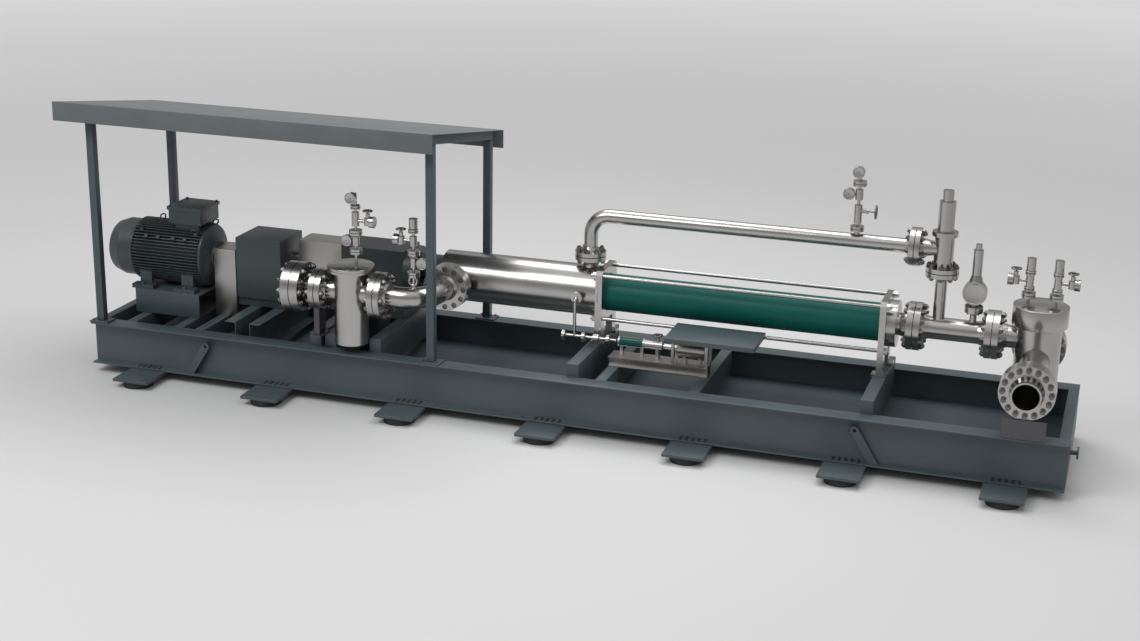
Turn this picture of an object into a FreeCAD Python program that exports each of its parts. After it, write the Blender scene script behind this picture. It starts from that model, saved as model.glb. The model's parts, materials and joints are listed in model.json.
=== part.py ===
import FreeCAD, Part
import math
import os

import Sketcher

# Skid-mounted progressive cavity pump with its drive, pipework, canopy and flushing unit.
# Lengths are in millimetres and +Z is up. The origin is on the floor, in the middle of the
# footprint. X runs along the skid from the motor to the outlet vessel, and the suction line
# is on the -Y side.
SIZES = {
    # Skid frame
    "skid_length": 10000,
    "skid_width": 1764,
    "beam_height": 450,
    "beam_flange_width": 190,
    "beam_web": 10,
    "beam_flange": 15,
    "pan_depth": 310,
    "pan_thick": 8,
    "weld_gap": 0.4,
    "end_beam_width": 100,
    # Cross beams, by how far their left side lies from the motor end
    "deck_beam_width": 105,
    "deck_beam_height": 200,
    "motor_beam_a_station": 330,
    "motor_beam_b_station": 880,
    "guard_beam_station": 1130,
    "flush_beam_a_station": 5510,
    "flush_beam_b_station": 6445,
    "vessel_beam_station": 9535,
    "raised_beam_lift": 130,
    "raised_beam_width": 125,
    "inlet_beam_station": 2455,
    "bearing_beam_station": 3115,
    "suction_beam_station": 5210,
    "discharge_beam_station": 8090,
    "gear_channel_a_station": 1480,
    "gear_channel_b_station": 1760,
    "bearing_beam_b_station": 2620,
    # Feet and lifting eyes
    "foot_count": 7,
    "first_foot_station": 655,
    "foot_spacing": 1471,
    "foot_plate_width": 400,
    "foot_plate_thick": 30,
    "foot_reach": 360,
    "pad_radius": 155,
    "pad_height": 70,
    "pad_outboard": 190,
    "foot_bolt_radius": 12,
    "foot_bolt_head": 16,
    "foot_bolt_rows": 2,
    "foot_bolts_in_row": 5,
    "foot_bolt_pitch": 60,
    "foot_bolt_row_gap": 60,
    "lug_left_station": 1135,
    "lug_right_station": 8272,
    "lug_width": 80,
    "lug_thick": 26,
    "lug_hole_radius": 18,
    "lug_run": 195,
    "lug_rise": 312,
    "lug_standoff": 32,
    "lug_rib_thick": 24,
    # Canopy
    "roof_overhang": 220,
    "roof_length": 4150,
    "roof_reach": 100,
    "roof_top": 2350,
    "roof_fall": 330,
    "roof_sheet": 6,
    "fascia_depth": 195,
    "post_size": 80,
    "post_wall": 5,
    "post_left_station": 90,
    "post_right_station": 3830,
    "post_inset": 95,
    "rafter_depth": 100,
    "post_foot_length": 210,
    "post_foot_width": 170,
    "post_foot_thick": 14,
    # Drive line
    "axis_height": 615,
    "pump_offset": 238,
    "motor_rear_station": -125,
    "cowl_length": 300,
    "cowl_rear_radius": 268,
    "cowl_radius": 306,
    "cowl_sheet": 4,
    "frame_length": 800,
    "frame_radius": 290,
    "frame_bore": 232,
    "fin_radius": 335,
    "fin_thick": 7,
    "fin_count": 60,
    "shield_length": 100,
    "shield_radius": 318,
    "shield_hub_radius": 150,
    "motor_height": 355,
    "motor_foot_spread": 305,
    "motor_foot_width": 110,
    "motor_foot_length": 250,
    "motor_foot_thick": 45,
    "terminal_length": 400,
    "terminal_width": 420,
    "terminal_height": 185,
    "terminal_station": 580,
    "terminal_lift": 355,
    "pedestal_length": 760,
    "pedestal_station": 245,
    "pedestal_width": 740,
    "pedestal_plate": 20,
    "motor_shaft_radius": 45,
    "rotor_core_radius": 150,
    "rotor_core_length": 560,
    "fan_radius": 240,
    "fan_hub_radius": 75,
    "fan_width": 90,
    "fan_blade_count": 8,
    "fan_blade_thick": 8,
    "running_gap": 0.3,
    "coupling_radius": 105,
    "coupling_hub_length": 62,
    "coupling_gap": 14,
    "guard_a_station": 1085,
    "guard_a_length": 250,
    "guard_a_width": 300,
    "guard_a_top": 730,
    "guard_sheet": 4,
    "guard_b_station": 1968,
    "guard_b_length": 490,
    "guard_b_width": 300,
    "guard_b_top": 853,
    # Gear unit
    "gear_case_station": 1342,
    "gear_case_length": 520,
    "gear_case_width": 520,
    "gear_case_top": 875,
    "gear_case_floor": 222,
    "gear_case_wall": 22,
    "gear_case_mid": 118,
    "pinion_teeth": 14,
    "wheel_teeth": 46,
    "second_pinion_teeth": 15,
    "second_wheel_teeth": 30,
    "first_module": 5,
    "second_module": 7,
    "first_face": 90,
    "second_face": 130,
    "gear_shaft_radius": 32,
    "pump_shaft_radius": 55,
    # Bearing stool and shaft sealing
    "stool_station": 2500,
    "stool_length": 690,
    "stool_width": 440,
    "stool_top": 862,
    "stool_wall": 18,
    "bearing_radius": 120,
    "bearing_width": 55,
    "stool_flange_radius": 265,
    "stool_flange_thick": 100,
    "lantern_radius": 190,
    "lantern_wall": 22,
    "seal_radius": 88,
    "seal_length": 120,
    # Pump
    "housing_station": 3600,
    "housing_radius": 257,
    "housing_wall": 16,
    "housing_end_thick": 45,
    "plate_station": 5280,
    "suction_plate_thick": 70,
    "plate_half_width": 258,
    "plate_rise": 270,
    "plate_chamfer": 40,
    "plate_foot_width": 120,
    "plate_foot_thick": 30,
    "plate_foot_length": 150,
    "plate_bore_radius": 150,
    "stator_length": 2770,
    "stator_radius": 187,
    "stator_wall": 14,
    "discharge_plate_thick": 60,
    "rod_spread": 222,
    "rod_radius": 19,
    "rod_nut_radius": 34,
    "rod_nut_height": 32,
    "rotor_radius": 84,
    "eccentricity": 28,
    "rotor_pitch": 692.5,
    "rotor_gap": 0.6,
    "rotor_head_length": 150,
    "link_radius": 42,
    "link_head_radius": 66,
    "link_head_length": 90,
    "link_socket_depth": 60,
    # Pipe and flanges of the 8 inch line
    "line_radius": 109.5,
    "line_wall": 12.7,
    "line_flange_radius": 235,
    "line_flange_thick": 60,
    "line_bolt_circle": 394,
    "line_bolt_count": 12,
    "line_stud_radius": 17,
    "screw_well_radius": 28,
    "screw_well_depth": 36,
    "screw_head_radius": 24,
    "screw_head_height": 22,
    "line_hub_length": 75,
    "inlet_flange_radius": 252,
    "inlet_flange_thick": 90,
    "inlet_bolt_circle": 430,
    "inlet_bolt_count": 12,
    "inlet_stud_radius": 18,
    "narrow_flange_radius": 207,
    "narrow_flange_thick": 58,
    "narrow_bolt_circle": 345,
    "narrow_bolt_count": 12,
    "narrow_stud_radius": 16.5,
    "raised_face": 4,
    "raised_face_inset": 75,
    "hole_clearance": 1.5,
    "hub_flare": 22,
    # Suction line
    "nozzle_station": 3760,
    "nozzle_face": 430,
    "line_setback": 530,
    "bend_radius": 305,
    "inlet_pair_station": 2360,
    "narrow_pair_station": 2613,
    "strainer_station": 2940,
    "strainer_radius": 172,
    "strainer_wall": 12,
    "strainer_floor": 92,
    "strainer_top": 868,
    "strainer_lid_radius": 235,
    "strainer_lid_thick": 32,
    "basket_radius": 125,
    "basket_length": 560,
    "basket_sheet": 3,
    "strainer_collar": 24,
    "right_pair_station": 3264,
    "support_width": 150,
    "support_plate": 14,
    "support_foot": 230,
    # Bypass line with its relief valve
    "bypass_radius": 70.5,
    "bypass_wall": 8,
    "bypass_flange_radius": 158,
    "bypass_flange_thick": 40,
    "bypass_bolt_circle": 250,
    "bypass_bolt_count": 8,
    "bypass_stud_radius": 15,
    "bypass_hub_length": 45,
    "relief_flange_radius": 187,
    "relief_flange_thick": 46,
    "relief_bolt_circle": 300,
    "relief_bolt_count": 8,
    "relief_stud_radius": 17,
    "relief_hub_length": 110,
    "bypass_station": 5147,
    "bypass_height": 1400,
    "bypass_bend": 200,
    "bypass_flange_height": 985,
    "bypass_pair_station": 8380,
    "riser_station": 8645,
    "riser_radius": 57,
    "relief_seat_height": 90,
    "relief_pair_height": 1185,
    "relief_body_radius": 92,
    "relief_bonnet_radius": 78,
    "relief_collar_radius": 122,
    "relief_collar_thick": 42,
    "relief_collar_height": 1535,
    "relief_bonnet_top": 1870,
    "relief_cap_radius": 52,
    "relief_cap_top": 1975,
    "relief_stem_radius": 14,
    "relief_lift": 18,
    # Discharge line
    "discharge_disc_radius": 228,
    "discharge_disc_thick": 90,
    "discharge_pair_station": 8430,
    "vessel_pair_station": 9168,
    "small_valve_station": 8968,
    "small_neck_radius": 33,
    "small_flange_radius": 88,
    "small_flange_height": 846,
    "small_flange_thick": 30,
    "small_disc_radius": 114,
    "small_disc_height": 1015,
    "small_disc_thick": 60,
    "small_bonnet_radius": 46,
    "small_bonnet_top": 1430,
    "small_cap_radius": 30,
    "small_cap_top": 1484,
    "small_lift": 10,
    "small_bolt_circle": 132,
    "small_bolt_count": 8,
    "small_bolt_radius": 13,
    "small_bolt_height": 14,
    "small_shoulder_radius": 72,
    "small_shoulder_height": 85,
    # Outlet vessel
    "vessel_station": 9587,
    "vessel_radius": 213,
    "vessel_wall": 20,
    "vessel_floor": 130,
    "vessel_top": 760,
    "vessel_lid_radius": 261,
    "vessel_lid_thick": 194,
    "outlet_height": 440,
    "outlet_pipe_radius": 136.5,
    "outlet_pipe_wall": 15,
    "outlet_flange_radius": 254,
    "outlet_flange_thick": 80,
    "outlet_bolt_circle": 432,
    "outlet_bolt_count": 16,
    "outlet_stud_radius": 16,
    "outlet_hub_length": 60,
    "outlet_stub_length": 50,
    "outlet_face_reach": 1006,
    "blind_face_reach": 382,
    "outlet_support_width": 400,
    "outlet_support_thick": 20,
    "drain_reach": 80,
    "drain_height": -200,
    "drain_radius": 22,
    "drain_flange_radius": 60,
    "drain_flange_thick": 18,
    "drain_offset": 484,
    # Flushing unit
    "flush_offset": 132,
    "flush_line_height": 232,
    "flush_nozzle_reach": 320,
    "flush_rail_station": 5503,
    "flush_rail_length": 1010,
    "flush_rail_height": 92,
    "flush_rail_width": 45,
    "flush_rail_gap": 170,
    "flush_rail_offset": 242,
    "flush_shaft_radius": 12,
    "flush_rail_wall": 7,
    "flush_pipe_radius": 17,
    "flush_riser_station": 5107,
    "flush_flange_radius": 56,
    "flush_flange_thick": 15,
    "flush_blind_station": 4985,
    "flush_pair_a_station": 5208,
    "flush_pair_b_station": 5465,
    "flush_stator_station": 5592,
    "flush_stator_length": 240,
    "flush_stator_radius": 40,
    "flush_rod_radius": 5,
    "flush_rod_circle": 48,
    "flush_housing_length": 195,
    "flush_housing_radius": 46,
    "flush_motor_station": 6190,
    "flush_motor_length": 280,
    "flush_motor_radius": 85,
    "flush_hood_station": 6140,
    "flush_hood_length": 890,
    "flush_hood_near": 542,
    "flush_hood_far": 22,
    "flush_hood_top": 455,
    "flush_hood_lip": 48,
    "flush_hood_sheet": 5,
    "flush_post_size": 28,
    "flush_wheel_station": 5975,
    "flush_wheel_reach": 62,
    # Hand wheels and instrument valves
    "cowl_slot_count": 24,
    "fit_gap": 0.05,
    "air_gap": 3,
    "guard_end_gap": 12,
    "coupling_b_reach": 150,
    "gear_side_gap": 18,
    "hand_wheel_radius": 62,
    "hand_wheel_rim": 7,
    "hand_wheel_hub": 12,
    "small_wheel_radius": 45,
    "tree_flange_radius": 66,
    "tree_flange_thick": 22,
    "tree_joint": 6,
    "tree_stem_radius": 16,
    "tree_block_radius": 38,
    "transmitter_radius": 44,
    "gauge_reach": 95,
    "gauge_arm_radius": 13,
    "wheel_reach": 170,
    "branch_reach": 132,
    "branch_wheel_reach": 72,
    "bonnet_radius": 22,
    "bonnet_share": 0.6,
    "spindle_grip": 30,
    "boss_share": 0.48,
    "boss_radius": 26,
    "boss_height": 14,
    "strainer_tree_height": 740,
    "elbow_tree_height": 690,
    "run_tree_station": 7810,
    "run_tree_height": 640,
    "vessel_tree_height": 446,
    "gauge_radius": 55,
    "gauge_thick": 42,
    # Proportions: each is a share or a multiple of the size that it goes with
    "nut_height_share": 1.6,
    "stud_end_share": 1.5,
    "nut_radius_share": 1.75,
    "foot_bolt_line_share": 0.75,
    "post_bolt_length_share": 0.36,
    "post_bolt_width_share": 0.3,
    "motor_bolt_share": 1.4,
    "saddle_share": 0.7,
    "terminal_body_share": 0.94,
    "terminal_body_height_share": 0.8,
    "terminal_lid_share": 0.2,
    "gland_side_share": 0.46,
    "gland_height_share": 0.4,
    "gland_radius_share": 2.2,
    "gland_a_share": 0.3,
    "gland_b_share": 0.65,
    "shield_rim_share": 0.25,
    "shield_neck_radius_share": 0.86,
    "shield_neck_share": 0.45,
    "shield_hub_share": 0.8,
    "rear_rim_share": 0.15,
    "rear_hub_share": 0.3,
    "cowl_cone_share": 0.42,
    "cowl_slot_share": 0.88,
    "fan_reach_share": 0.72,
    "coupling_neck_share": 0.7,
    "coupling_neck_end_share": 0.4,
    "coupling_rim_start_share": 0.45,
    "elastic_ring_share": 0.96,
    "elastic_wall_share": 0.4,
    "tooth_root_share": 1.1,
    "tooth_foot_share": 1.05,
    "tooth_tip_share": 0.36,
    "tooth_sink_share": 0.4,
    "tooth_rise_share": 0.75,
    "gear_foot_share": 0.3,
    "blind_bore_share": 0.6,
    "pinion_journal_share": 0.75,
    "output_coupling_share": 1.2,
    "window_length_share": 0.6,
    "window_share": 0.9,
    "seal_neck_share": 0.8,
    "seal_rim_start_share": 0.55,
    "flush_bore_share": 0.7,
    "relief_disc_share": 0.85,
    "small_chamber_share": 0.7,
    "small_body_share": 1.3,
    "small_disc_depth_share": 1.5,
    "drain_bore_share": 0.75,
    "wheel_hub_share": 1.5,
    "spoke_share": 0.7,
    "strainer_tree_share": 0.35,
    "vessel_tree_share": 0.6,
    "tree_a_pair_low": 0.2,
    "tree_a_pair_high": 0.46,
    "tree_a_block_foot": 0.28,
    "tree_a_block_head": 0.4,
    "tree_a_valve_foot": 0.55,
    "tree_a_valve_head": 0.74,
    "tree_a_dial": 0.34,
    "tree_a_branch": 0.62,
    "tree_a_top_dial": 0.96,
    "tree_b_pair_low": 0.18,
    "tree_b_pair_high": 0.5,
    "tree_b_block_foot": 0.28,
    "tree_b_block_head": 0.42,
    "tree_b_valve_foot": 0.6,
    "tree_b_valve_head": 0.74,
    "tree_b_branch": 0.67,
    "tree_b_dial": 0.35,
    "tree_b_transmitter": 0.86,
    "tree_c_pair_low": 0.06,
    "tree_c_pair_high": 0.75,
    "tree_c_valve_foot": 0.14,
    "tree_c_valve_head": 0.42,
    "tree_c_block_foot": 0.5,
    "tree_c_block_head": 0.66,
    "tree_c_branch": 0.33,
    "tree_c_dial": 0.58,
    "tree_c_top_dial": 0.95,
    "tree_d_pair": 0.2,
    "tree_d_valve_foot": 0.36,
    "tree_d_valve_head": 0.64,
    "tree_d_transmitter": 0.74,
    "flush_turn_share": 0.6,
    "flush_valve_share": 2.4,
    "flush_foot_a_share": 0.25,
    "flush_foot_b_share": 0.8,
    "flush_coupling_share": 2.4,
}

doc = FreeCAD.newDocument("progressive_cavity_pump")
sheet = doc.addObject("Spreadsheet::Sheet", "Sizes")


class Size:
    """A length together with the formula over the sheet's cells that gives it."""

    def __init__(self, value, formula):
        self.value = float(value)
        self.formula = formula

    def __add__(self, other):
        other = as_size(other)
        return Size(self.value + other.value, f"({self.formula} + {other.formula})")

    def __sub__(self, other):
        other = as_size(other)
        return Size(self.value - other.value, f"({self.formula} - {other.formula})")

    def __mul__(self, other):
        other = as_size(other)
        return Size(self.value * other.value, f"({self.formula} * {other.formula})")

    def __truediv__(self, other):
        other = as_size(other)
        return Size(self.value / other.value, f"({self.formula} / {other.formula})")

    def __neg__(self):
        return Size(-self.value, f"(0 - {self.formula})")

    def __radd__(self, other):
        return as_size(other) + self

    def __rsub__(self, other):
        return as_size(other) - self

    def __rmul__(self, other):
        return as_size(other) * self


def as_size(item):
    """Returns a plain number as a Size, and a Size as it is."""
    if isinstance(item, Size):
        return item
    return Size(item, f"({float(item):.9f})")


class Dimensions:
    """Every cell of the sheet as a Size, under its alias."""


dim = Dimensions()
for row, (alias, number) in enumerate(SIZES.items(), start=1):
    sheet.set(f"A{row}", alias.replace("_", " "))
    sheet.set(f"B{row}", str(number))
    sheet.setAlias(f"B{row}", alias)
    setattr(dim, alias, Size(number, f"Sizes.{alias}"))
doc.recompute()

NONE = as_size(0)


def root_of(size):
    """The square root of a Size."""
    return Size(math.sqrt(size.value), f"sqrt({size.formula})")


QUARTER = 90
FULL = 360
TURN = {
    "x": FreeCAD.Rotation(FreeCAD.Vector(0, 1, 0), QUARTER),
    "-x": FreeCAD.Rotation(FreeCAD.Vector(0, 1, 0), -QUARTER),
    "y": FreeCAD.Rotation(FreeCAD.Vector(1, 0, 0), -QUARTER),
    "-y": FreeCAD.Rotation(FreeCAD.Vector(1, 0, 0), QUARTER),
    "z": FreeCAD.Rotation(),
    "-z": FreeCAD.Rotation(FreeCAD.Vector(1, 0, 0), 2 * QUARTER),
}
nodes = []


def station(distance):
    """The X of a place given by its distance from the skid's motor end."""
    return left_end + distance


def above_deck(height):
    """The Z of a place given by its height over the main beams."""
    return deck + height


def bind(item, name, size):
    """Gives a property its value, and its formula where it has one."""
    size = as_size(size)
    item.setExpression(name, size.formula)


def place(item, base, rotation=None):
    """Puts an object at a base point made of three Sizes."""
    base = [as_size(part) for part in base]
    start = FreeCAD.Vector(*[part.value for part in base])
    item.Placement = FreeCAD.Placement(start, rotation or FreeCAD.Rotation())
    for letter, part in zip("xyz", base):
        bind(item, f"Placement.Base.{letter}", part)
    return item


def node(name, item):
    """Names a finished piece, so that it is written to a file of its own."""
    item.Label = name
    nodes.append(item)
    return item


def box(corner, length, width, height):
    item = doc.addObject("Part::Box", "Block")
    bind(item, "Length", length)
    bind(item, "Width", width)
    bind(item, "Height", height)
    return place(item, corner)


def centred_box(middle, length, width, height):
    """A box whose middle in plan is given, and whose Z is its underside."""
    x, y, z = middle
    return box((x - as_size(length) / 2, y - as_size(width) / 2, z), length, width, height)


def cylinder(base, radius, length, axis="z"):
    item = doc.addObject("Part::Cylinder", "Round")
    bind(item, "Radius", radius)
    bind(item, "Height", length)
    return place(item, base, TURN[axis])


def ball(centre, radius):
    item = doc.addObject("Part::Sphere", "Ball")
    bind(item, "Radius", radius)
    return place(item, centre)


def cone(base, radius_a, radius_b, length, axis="z"):
    item = doc.addObject("Part::Cone", "Taper")
    bind(item, "Radius1", radius_a)
    bind(item, "Radius2", radius_b)
    bind(item, "Height", length)
    return place(item, base, TURN[axis])


def hexagon(base, radius, length, axis="z"):
    item = doc.addObject("Part::Prism", "Hexagon")
    item.Polygon = 6
    bind(item, "Circumradius", radius)
    bind(item, "Height", length)
    return place(item, base, TURN[axis])


def fuse(*items):
    item = doc.addObject("Part::MultiFuse", "Joined")
    item.Shapes = list(items)
    return item


def cut(base, *tools):
    tool = tools[0] if len(tools) == 1 else fuse(*tools)
    item = doc.addObject("Part::Cut", "Trimmed")
    item.Base = base
    item.Tool = tool
    return item


def group(*items):
    item = doc.addObject("Part::Compound", "Group")
    item.Links = list(items)
    return item


def tube(base, radius, wall, length, axis="z"):
    """A hollow round bar, with its bore as long as itself."""
    return cut(cylinder(base, radius, length, axis), cylinder(base, radius - wall, length, axis))


def bend(centre, bend_radius, pipe_radius, rotation):
    """A quarter of a ring, solid, in the plane that the rotation gives."""
    item = doc.addObject("Part::Torus", "Bend")
    bind(item, "Radius1", bend_radius)
    bind(item, "Radius2", pipe_radius)
    item.Angle3 = QUARTER
    return place(item, centre, rotation)


def origin_feature(body, role):
    return [item for item in body.Origin.OriginFeatures if item.Role == role][0]


def new_sketch(body, role):
    sketch = body.newObject("Sketcher::SketchObject", "Outline")
    sketch.AttachmentSupport = [(origin_feature(body, role), "")]
    sketch.MapMode = "FlatFace"
    return sketch


def fix_point(sketch, index, corner, across, along):
    """Ties a sketch point to its two distances from the sketch's origin."""
    for kind, size in (("DistanceX", across), ("DistanceY", along)):
        size = as_size(size)
        number = sketch.addConstraint(
            Sketcher.Constraint(kind, -1, 1, index, corner, size.value))
        sketch.setExpression(f"Constraints[{number}]", size.formula)


def draw_loop(sketch, outline):
    """Draws a closed outline of straight lines through the given points."""
    points = [(as_size(across), as_size(along)) for across, along in outline]
    first = sketch.GeometryCount
    count = len(points)
    for index, (across, along) in enumerate(points):
        after = points[(index + 1) % count]
        sketch.addGeometry(Part.LineSegment(
            FreeCAD.Vector(across.value, along.value, 0),
            FreeCAD.Vector(after[0].value, after[1].value, 0)))
    for index, (across, along) in enumerate(points):
        before = first + (index - 1) % count
        sketch.addConstraint(Sketcher.Constraint("Coincident", before, 2, first + index, 1))
        fix_point(sketch, first + index, 1, across, along)


def draw_circle(sketch, across, along, radius):
    across, along, radius = as_size(across), as_size(along), as_size(radius)
    number = sketch.addGeometry(Part.Circle(
        FreeCAD.Vector(across.value, along.value, 0), FreeCAD.Vector(0, 0, 1), radius.value))
    fix_point(sketch, number, 3, across, along)
    limit = sketch.addConstraint(Sketcher.Constraint("Radius", number, radius.value))
    sketch.setExpression(f"Constraints[{limit}]", radius.formula)


def turned(outline, base, axis="z"):
    """A body turned from an outline of (radius, distance along the axis) points."""
    body = doc.addObject("PartDesign::Body", "Turned")
    sketch = new_sketch(body, "XZ_Plane")
    draw_loop(sketch, outline)
    revolution = body.newObject("PartDesign::Revolution", "Revolution")
    revolution.Profile = sketch
    revolution.ReferenceAxis = (sketch, ["V_Axis"])
    revolution.Angle = FULL
    place(body, base, TURN[axis])
    return body


def extruded(loops, length, base, rotation=None):
    """A body pushed out of a sketch that holds closed outlines, the first of them outside."""
    body = doc.addObject("PartDesign::Body", "Extruded")
    sketch = new_sketch(body, "XY_Plane")
    for outline in loops:
        draw_loop(sketch, outline)
    pad = body.newObject("PartDesign::Pad", "Pad")
    pad.Profile = sketch
    bind(pad, "Length", length)
    place(body, base, rotation)
    return body


def around(body, features, count):
    """Repeats features evenly about the body's own Z axis."""
    doc.recompute()
    pattern = body.newObject("PartDesign::PolarPattern", "Ring")
    pattern.Originals = features
    pattern.Axis = (origin_feature(body, "Z_Axis"), [""])
    pattern.Angle = FULL
    pattern.Occurrences = count
    body.Tip = pattern
    return pattern


class FlangeKind:
    """The sizes that two mating flanges and their bolts share."""

    def __init__(self, name):
        self.radius = getattr(dim, f"{name}_flange_radius")
        self.thick = getattr(dim, f"{name}_flange_thick")
        self.circle = getattr(dim, f"{name}_bolt_circle")
        self.count = SIZES[f"{name}_bolt_count"]
        self.stud = getattr(dim, f"{name}_stud_radius")

    def hole(self):
        return self.stud + dim.hole_clearance


def flange(kind, pipe_radius, bore_radius, hub_length, face, axis, well=None):
    """A welding-neck flange. Its sealing face is at the given point, and its hub lies along axis.

    A well is a radius and a depth by which its bolt holes are widened from the back.
    """
    face_radius = kind.radius - dim.raised_face_inset
    back = dim.raised_face + kind.thick
    outline = [
        (bore_radius, NONE),
        (face_radius, NONE),
        (face_radius, dim.raised_face),
        (kind.radius, dim.raised_face),
        (kind.radius, back),
        (pipe_radius + dim.hub_flare, back),
        (pipe_radius, back + hub_length),
        (bore_radius, back + hub_length),
    ]
    body = turned(outline, face, axis)
    doc.recompute()
    sketch = new_sketch(body, "XY_Plane")
    draw_circle(sketch, kind.circle / 2, NONE, kind.hole())
    hole = body.newObject("PartDesign::Pocket", "BoltHole")
    hole.Profile = sketch
    hole.Type = "ThroughAll"
    hole.Midplane = True
    holes = [hole]
    if well is not None:
        radius, depth = well
        doc.recompute()
        rim = new_sketch(body, "XY_Plane")
        bind(rim, "AttachmentOffset.Base.z", back)
        draw_circle(rim, kind.circle / 2, NONE, radius)
        wide = body.newObject("PartDesign::Pocket", "Well")
        wide.Profile = rim
        bind(wide, "Length", depth)
        holes.append(wide)
    around(body, holes, kind.count)
    return body


def bolt_ring(kind, pieces, face, axis):
    """A ring of bolts, each made of round and six-sided pieces on its own axis."""
    body = doc.addObject("PartDesign::Body", "Bolts")
    parts = []
    for low, high, radius, sides in pieces:
        sketch = new_sketch(body, "XY_Plane")
        bind(sketch, "AttachmentOffset.Base.z", low)
        if sides:
            draw_loop(sketch, [
                (kind.circle / 2 + radius * math.cos(math.radians(FULL / sides * turn)),
                 radius * math.sin(math.radians(FULL / sides * turn)))
                for turn in range(sides)])
        else:
            draw_circle(sketch, kind.circle / 2, NONE, radius)
        pad = body.newObject("PartDesign::Pad", "Pad")
        pad.Profile = sketch
        bind(pad, "Length", high - low)
        parts.append(pad)
    around(body, parts, kind.count)
    place(body, face, TURN[axis])
    return body


def studs(kind, face, axis):
    """The studs of a flange pair, each with its two nuts, about the plane where the faces meet."""
    grip = dim.raised_face + kind.thick + dim.running_gap
    nut = kind.stud * dim.nut_height_share
    return bolt_ring(kind, [
        (-grip - nut * dim.stud_end_share, grip + nut * dim.stud_end_share, kind.stud, 0),
        (grip, grip + nut, kind.stud * dim.nut_radius_share, 6),
        (-grip - nut, -grip, kind.stud * dim.nut_radius_share, 6),
    ], face, axis)


def cap_screws(kind, face, axis):
    """Screws whose heads stand in the wells of the flange that lies along the axis."""
    seat = dim.raised_face + kind.thick - dim.screw_well_depth
    return bolt_ring(kind, [
        (-dim.raised_face - kind.thick, seat, kind.stud, 0),
        (seat, seat + dim.screw_head_height, dim.screw_head_radius, 0),
    ], face, axis)


line_kind = FlangeKind("line")
inlet_kind = FlangeKind("inlet")
narrow_kind = FlangeKind("narrow")
bypass_kind = FlangeKind("bypass")
relief_kind = FlangeKind("relief")
outlet_kind = FlangeKind("outlet")

left_end = -(dim.skid_length + dim.drain_reach - dim.roof_overhang) / 2
deck = dim.pad_height + dim.foot_plate_thick + dim.beam_height
beam_floor = deck - dim.beam_height
axis_z = above_deck(dim.axis_height)
raised_top = above_deck(dim.raised_beam_lift)
web_gap = dim.skid_width - dim.beam_flange_width - dim.beam_web - dim.weld_gap * 2
web_face = -web_gap / 2
bolts = []


def rect_tube(corner, length, width, height, wall, axis):
    """A square or rectangular tube that runs along X, Y or Z."""
    x, y, z = corner
    grow = {"x": (0, 1, 1), "y": (1, 0, 1), "z": (1, 1, 0)}[axis]
    inset = [wall * step for step in grow]
    inner = box((x + inset[0], y + inset[1], z + inset[2]),
                length - inset[0] * 2, width - inset[1] * 2, height - inset[2] * 2)
    return cut(box(corner, length, width, height), inner)


def i_outline(height, width, flange_thick, web):
    """Half outlines of an I section, with its depth across and its width along."""
    half = width / 2
    side = web / 2
    return [
        (NONE, -half), (flange_thick, -half), (flange_thick, -side),
        (height - flange_thick, -side), (height - flange_thick, -half), (height, -half),
        (height, half), (height - flange_thick, half), (height - flange_thick, side),
        (flange_thick, side), (flange_thick, half), (NONE, half),
    ]


def build_beams():
    outline = i_outline(dim.beam_height, dim.beam_flange_width, dim.beam_flange, dim.beam_web)
    middle = dim.skid_width / 2 - dim.beam_flange_width / 2
    sides = [extruded([outline], dim.skid_length, (left_end, side * middle, deck), TURN["x"])
             for side in (-1, 1)]
    node("skid_beams", group(*sides))


def cross_beam(distance, width, top, height):
    """A rectangular tube across the skid, with closed ends and a drain slot underneath."""
    wall = dim.beam_web
    reach = dim.skid_width / 2 - dim.beam_flange_width - dim.weld_gap
    x, y, z = (station(distance), -reach, top - height)
    return cut(
        box((x, y, z), width, reach * 2, height),
        box((x + wall, y + wall, z + wall), width - wall * 2, (reach - wall) * 2, height - wall * 2),
        centred_box((x + width / 2, NONE, z), width / 4, width, wall))


def build_cross_beams():
    low = [dim.motor_beam_a_station, dim.motor_beam_b_station, dim.guard_beam_station,
           dim.flush_beam_a_station, dim.flush_beam_b_station, dim.vessel_beam_station]
    raised = [dim.inlet_beam_station, dim.bearing_beam_station, dim.bearing_beam_b_station,
              dim.suction_beam_station, dim.discharge_beam_station]
    beams = [cross_beam(place_at, dim.deck_beam_width, deck, dim.deck_beam_height)
             for place_at in low]
    beams += [cross_beam(place_at, dim.raised_beam_width, raised_top,
                         dim.deck_beam_height + dim.raised_beam_lift)
              for place_at in raised]
    ends = [NONE, dim.skid_length - dim.end_beam_width]
    reach = dim.skid_width / 2 - dim.beam_flange_width - dim.weld_gap
    beams += [cross_beam(place_at, dim.end_beam_width, deck, dim.beam_height) for place_at in ends]
    width = dim.raised_beam_width
    height = dim.deck_beam_height + dim.raised_beam_lift
    web = dim.beam_web
    back_to_back = [
        [(NONE, NONE), (width, NONE), (width, height), (NONE, height), (NONE, height - web),
         (width - web, height - web), (width - web, web), (NONE, web)],
        [(NONE, NONE), (width, NONE), (width, web), (web, web), (web, height - web),
         (width, height - web), (width, height), (NONE, height)],
    ]
    for outline, place_at in zip(back_to_back,
                                 (dim.gear_channel_a_station, dim.gear_channel_b_station)):
        beams.append(extruded([outline], reach * 2, (station(place_at), -reach, raised_top),
                              TURN["y"]))
    node("cross_beams", group(*beams))
    floor = box((station(dim.end_beam_width + dim.weld_gap), web_face, deck - dim.pan_depth),
                dim.skid_length - (dim.end_beam_width + dim.weld_gap) * 2, web_gap, dim.pan_thick)
    node("drip_pan", floor)


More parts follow.
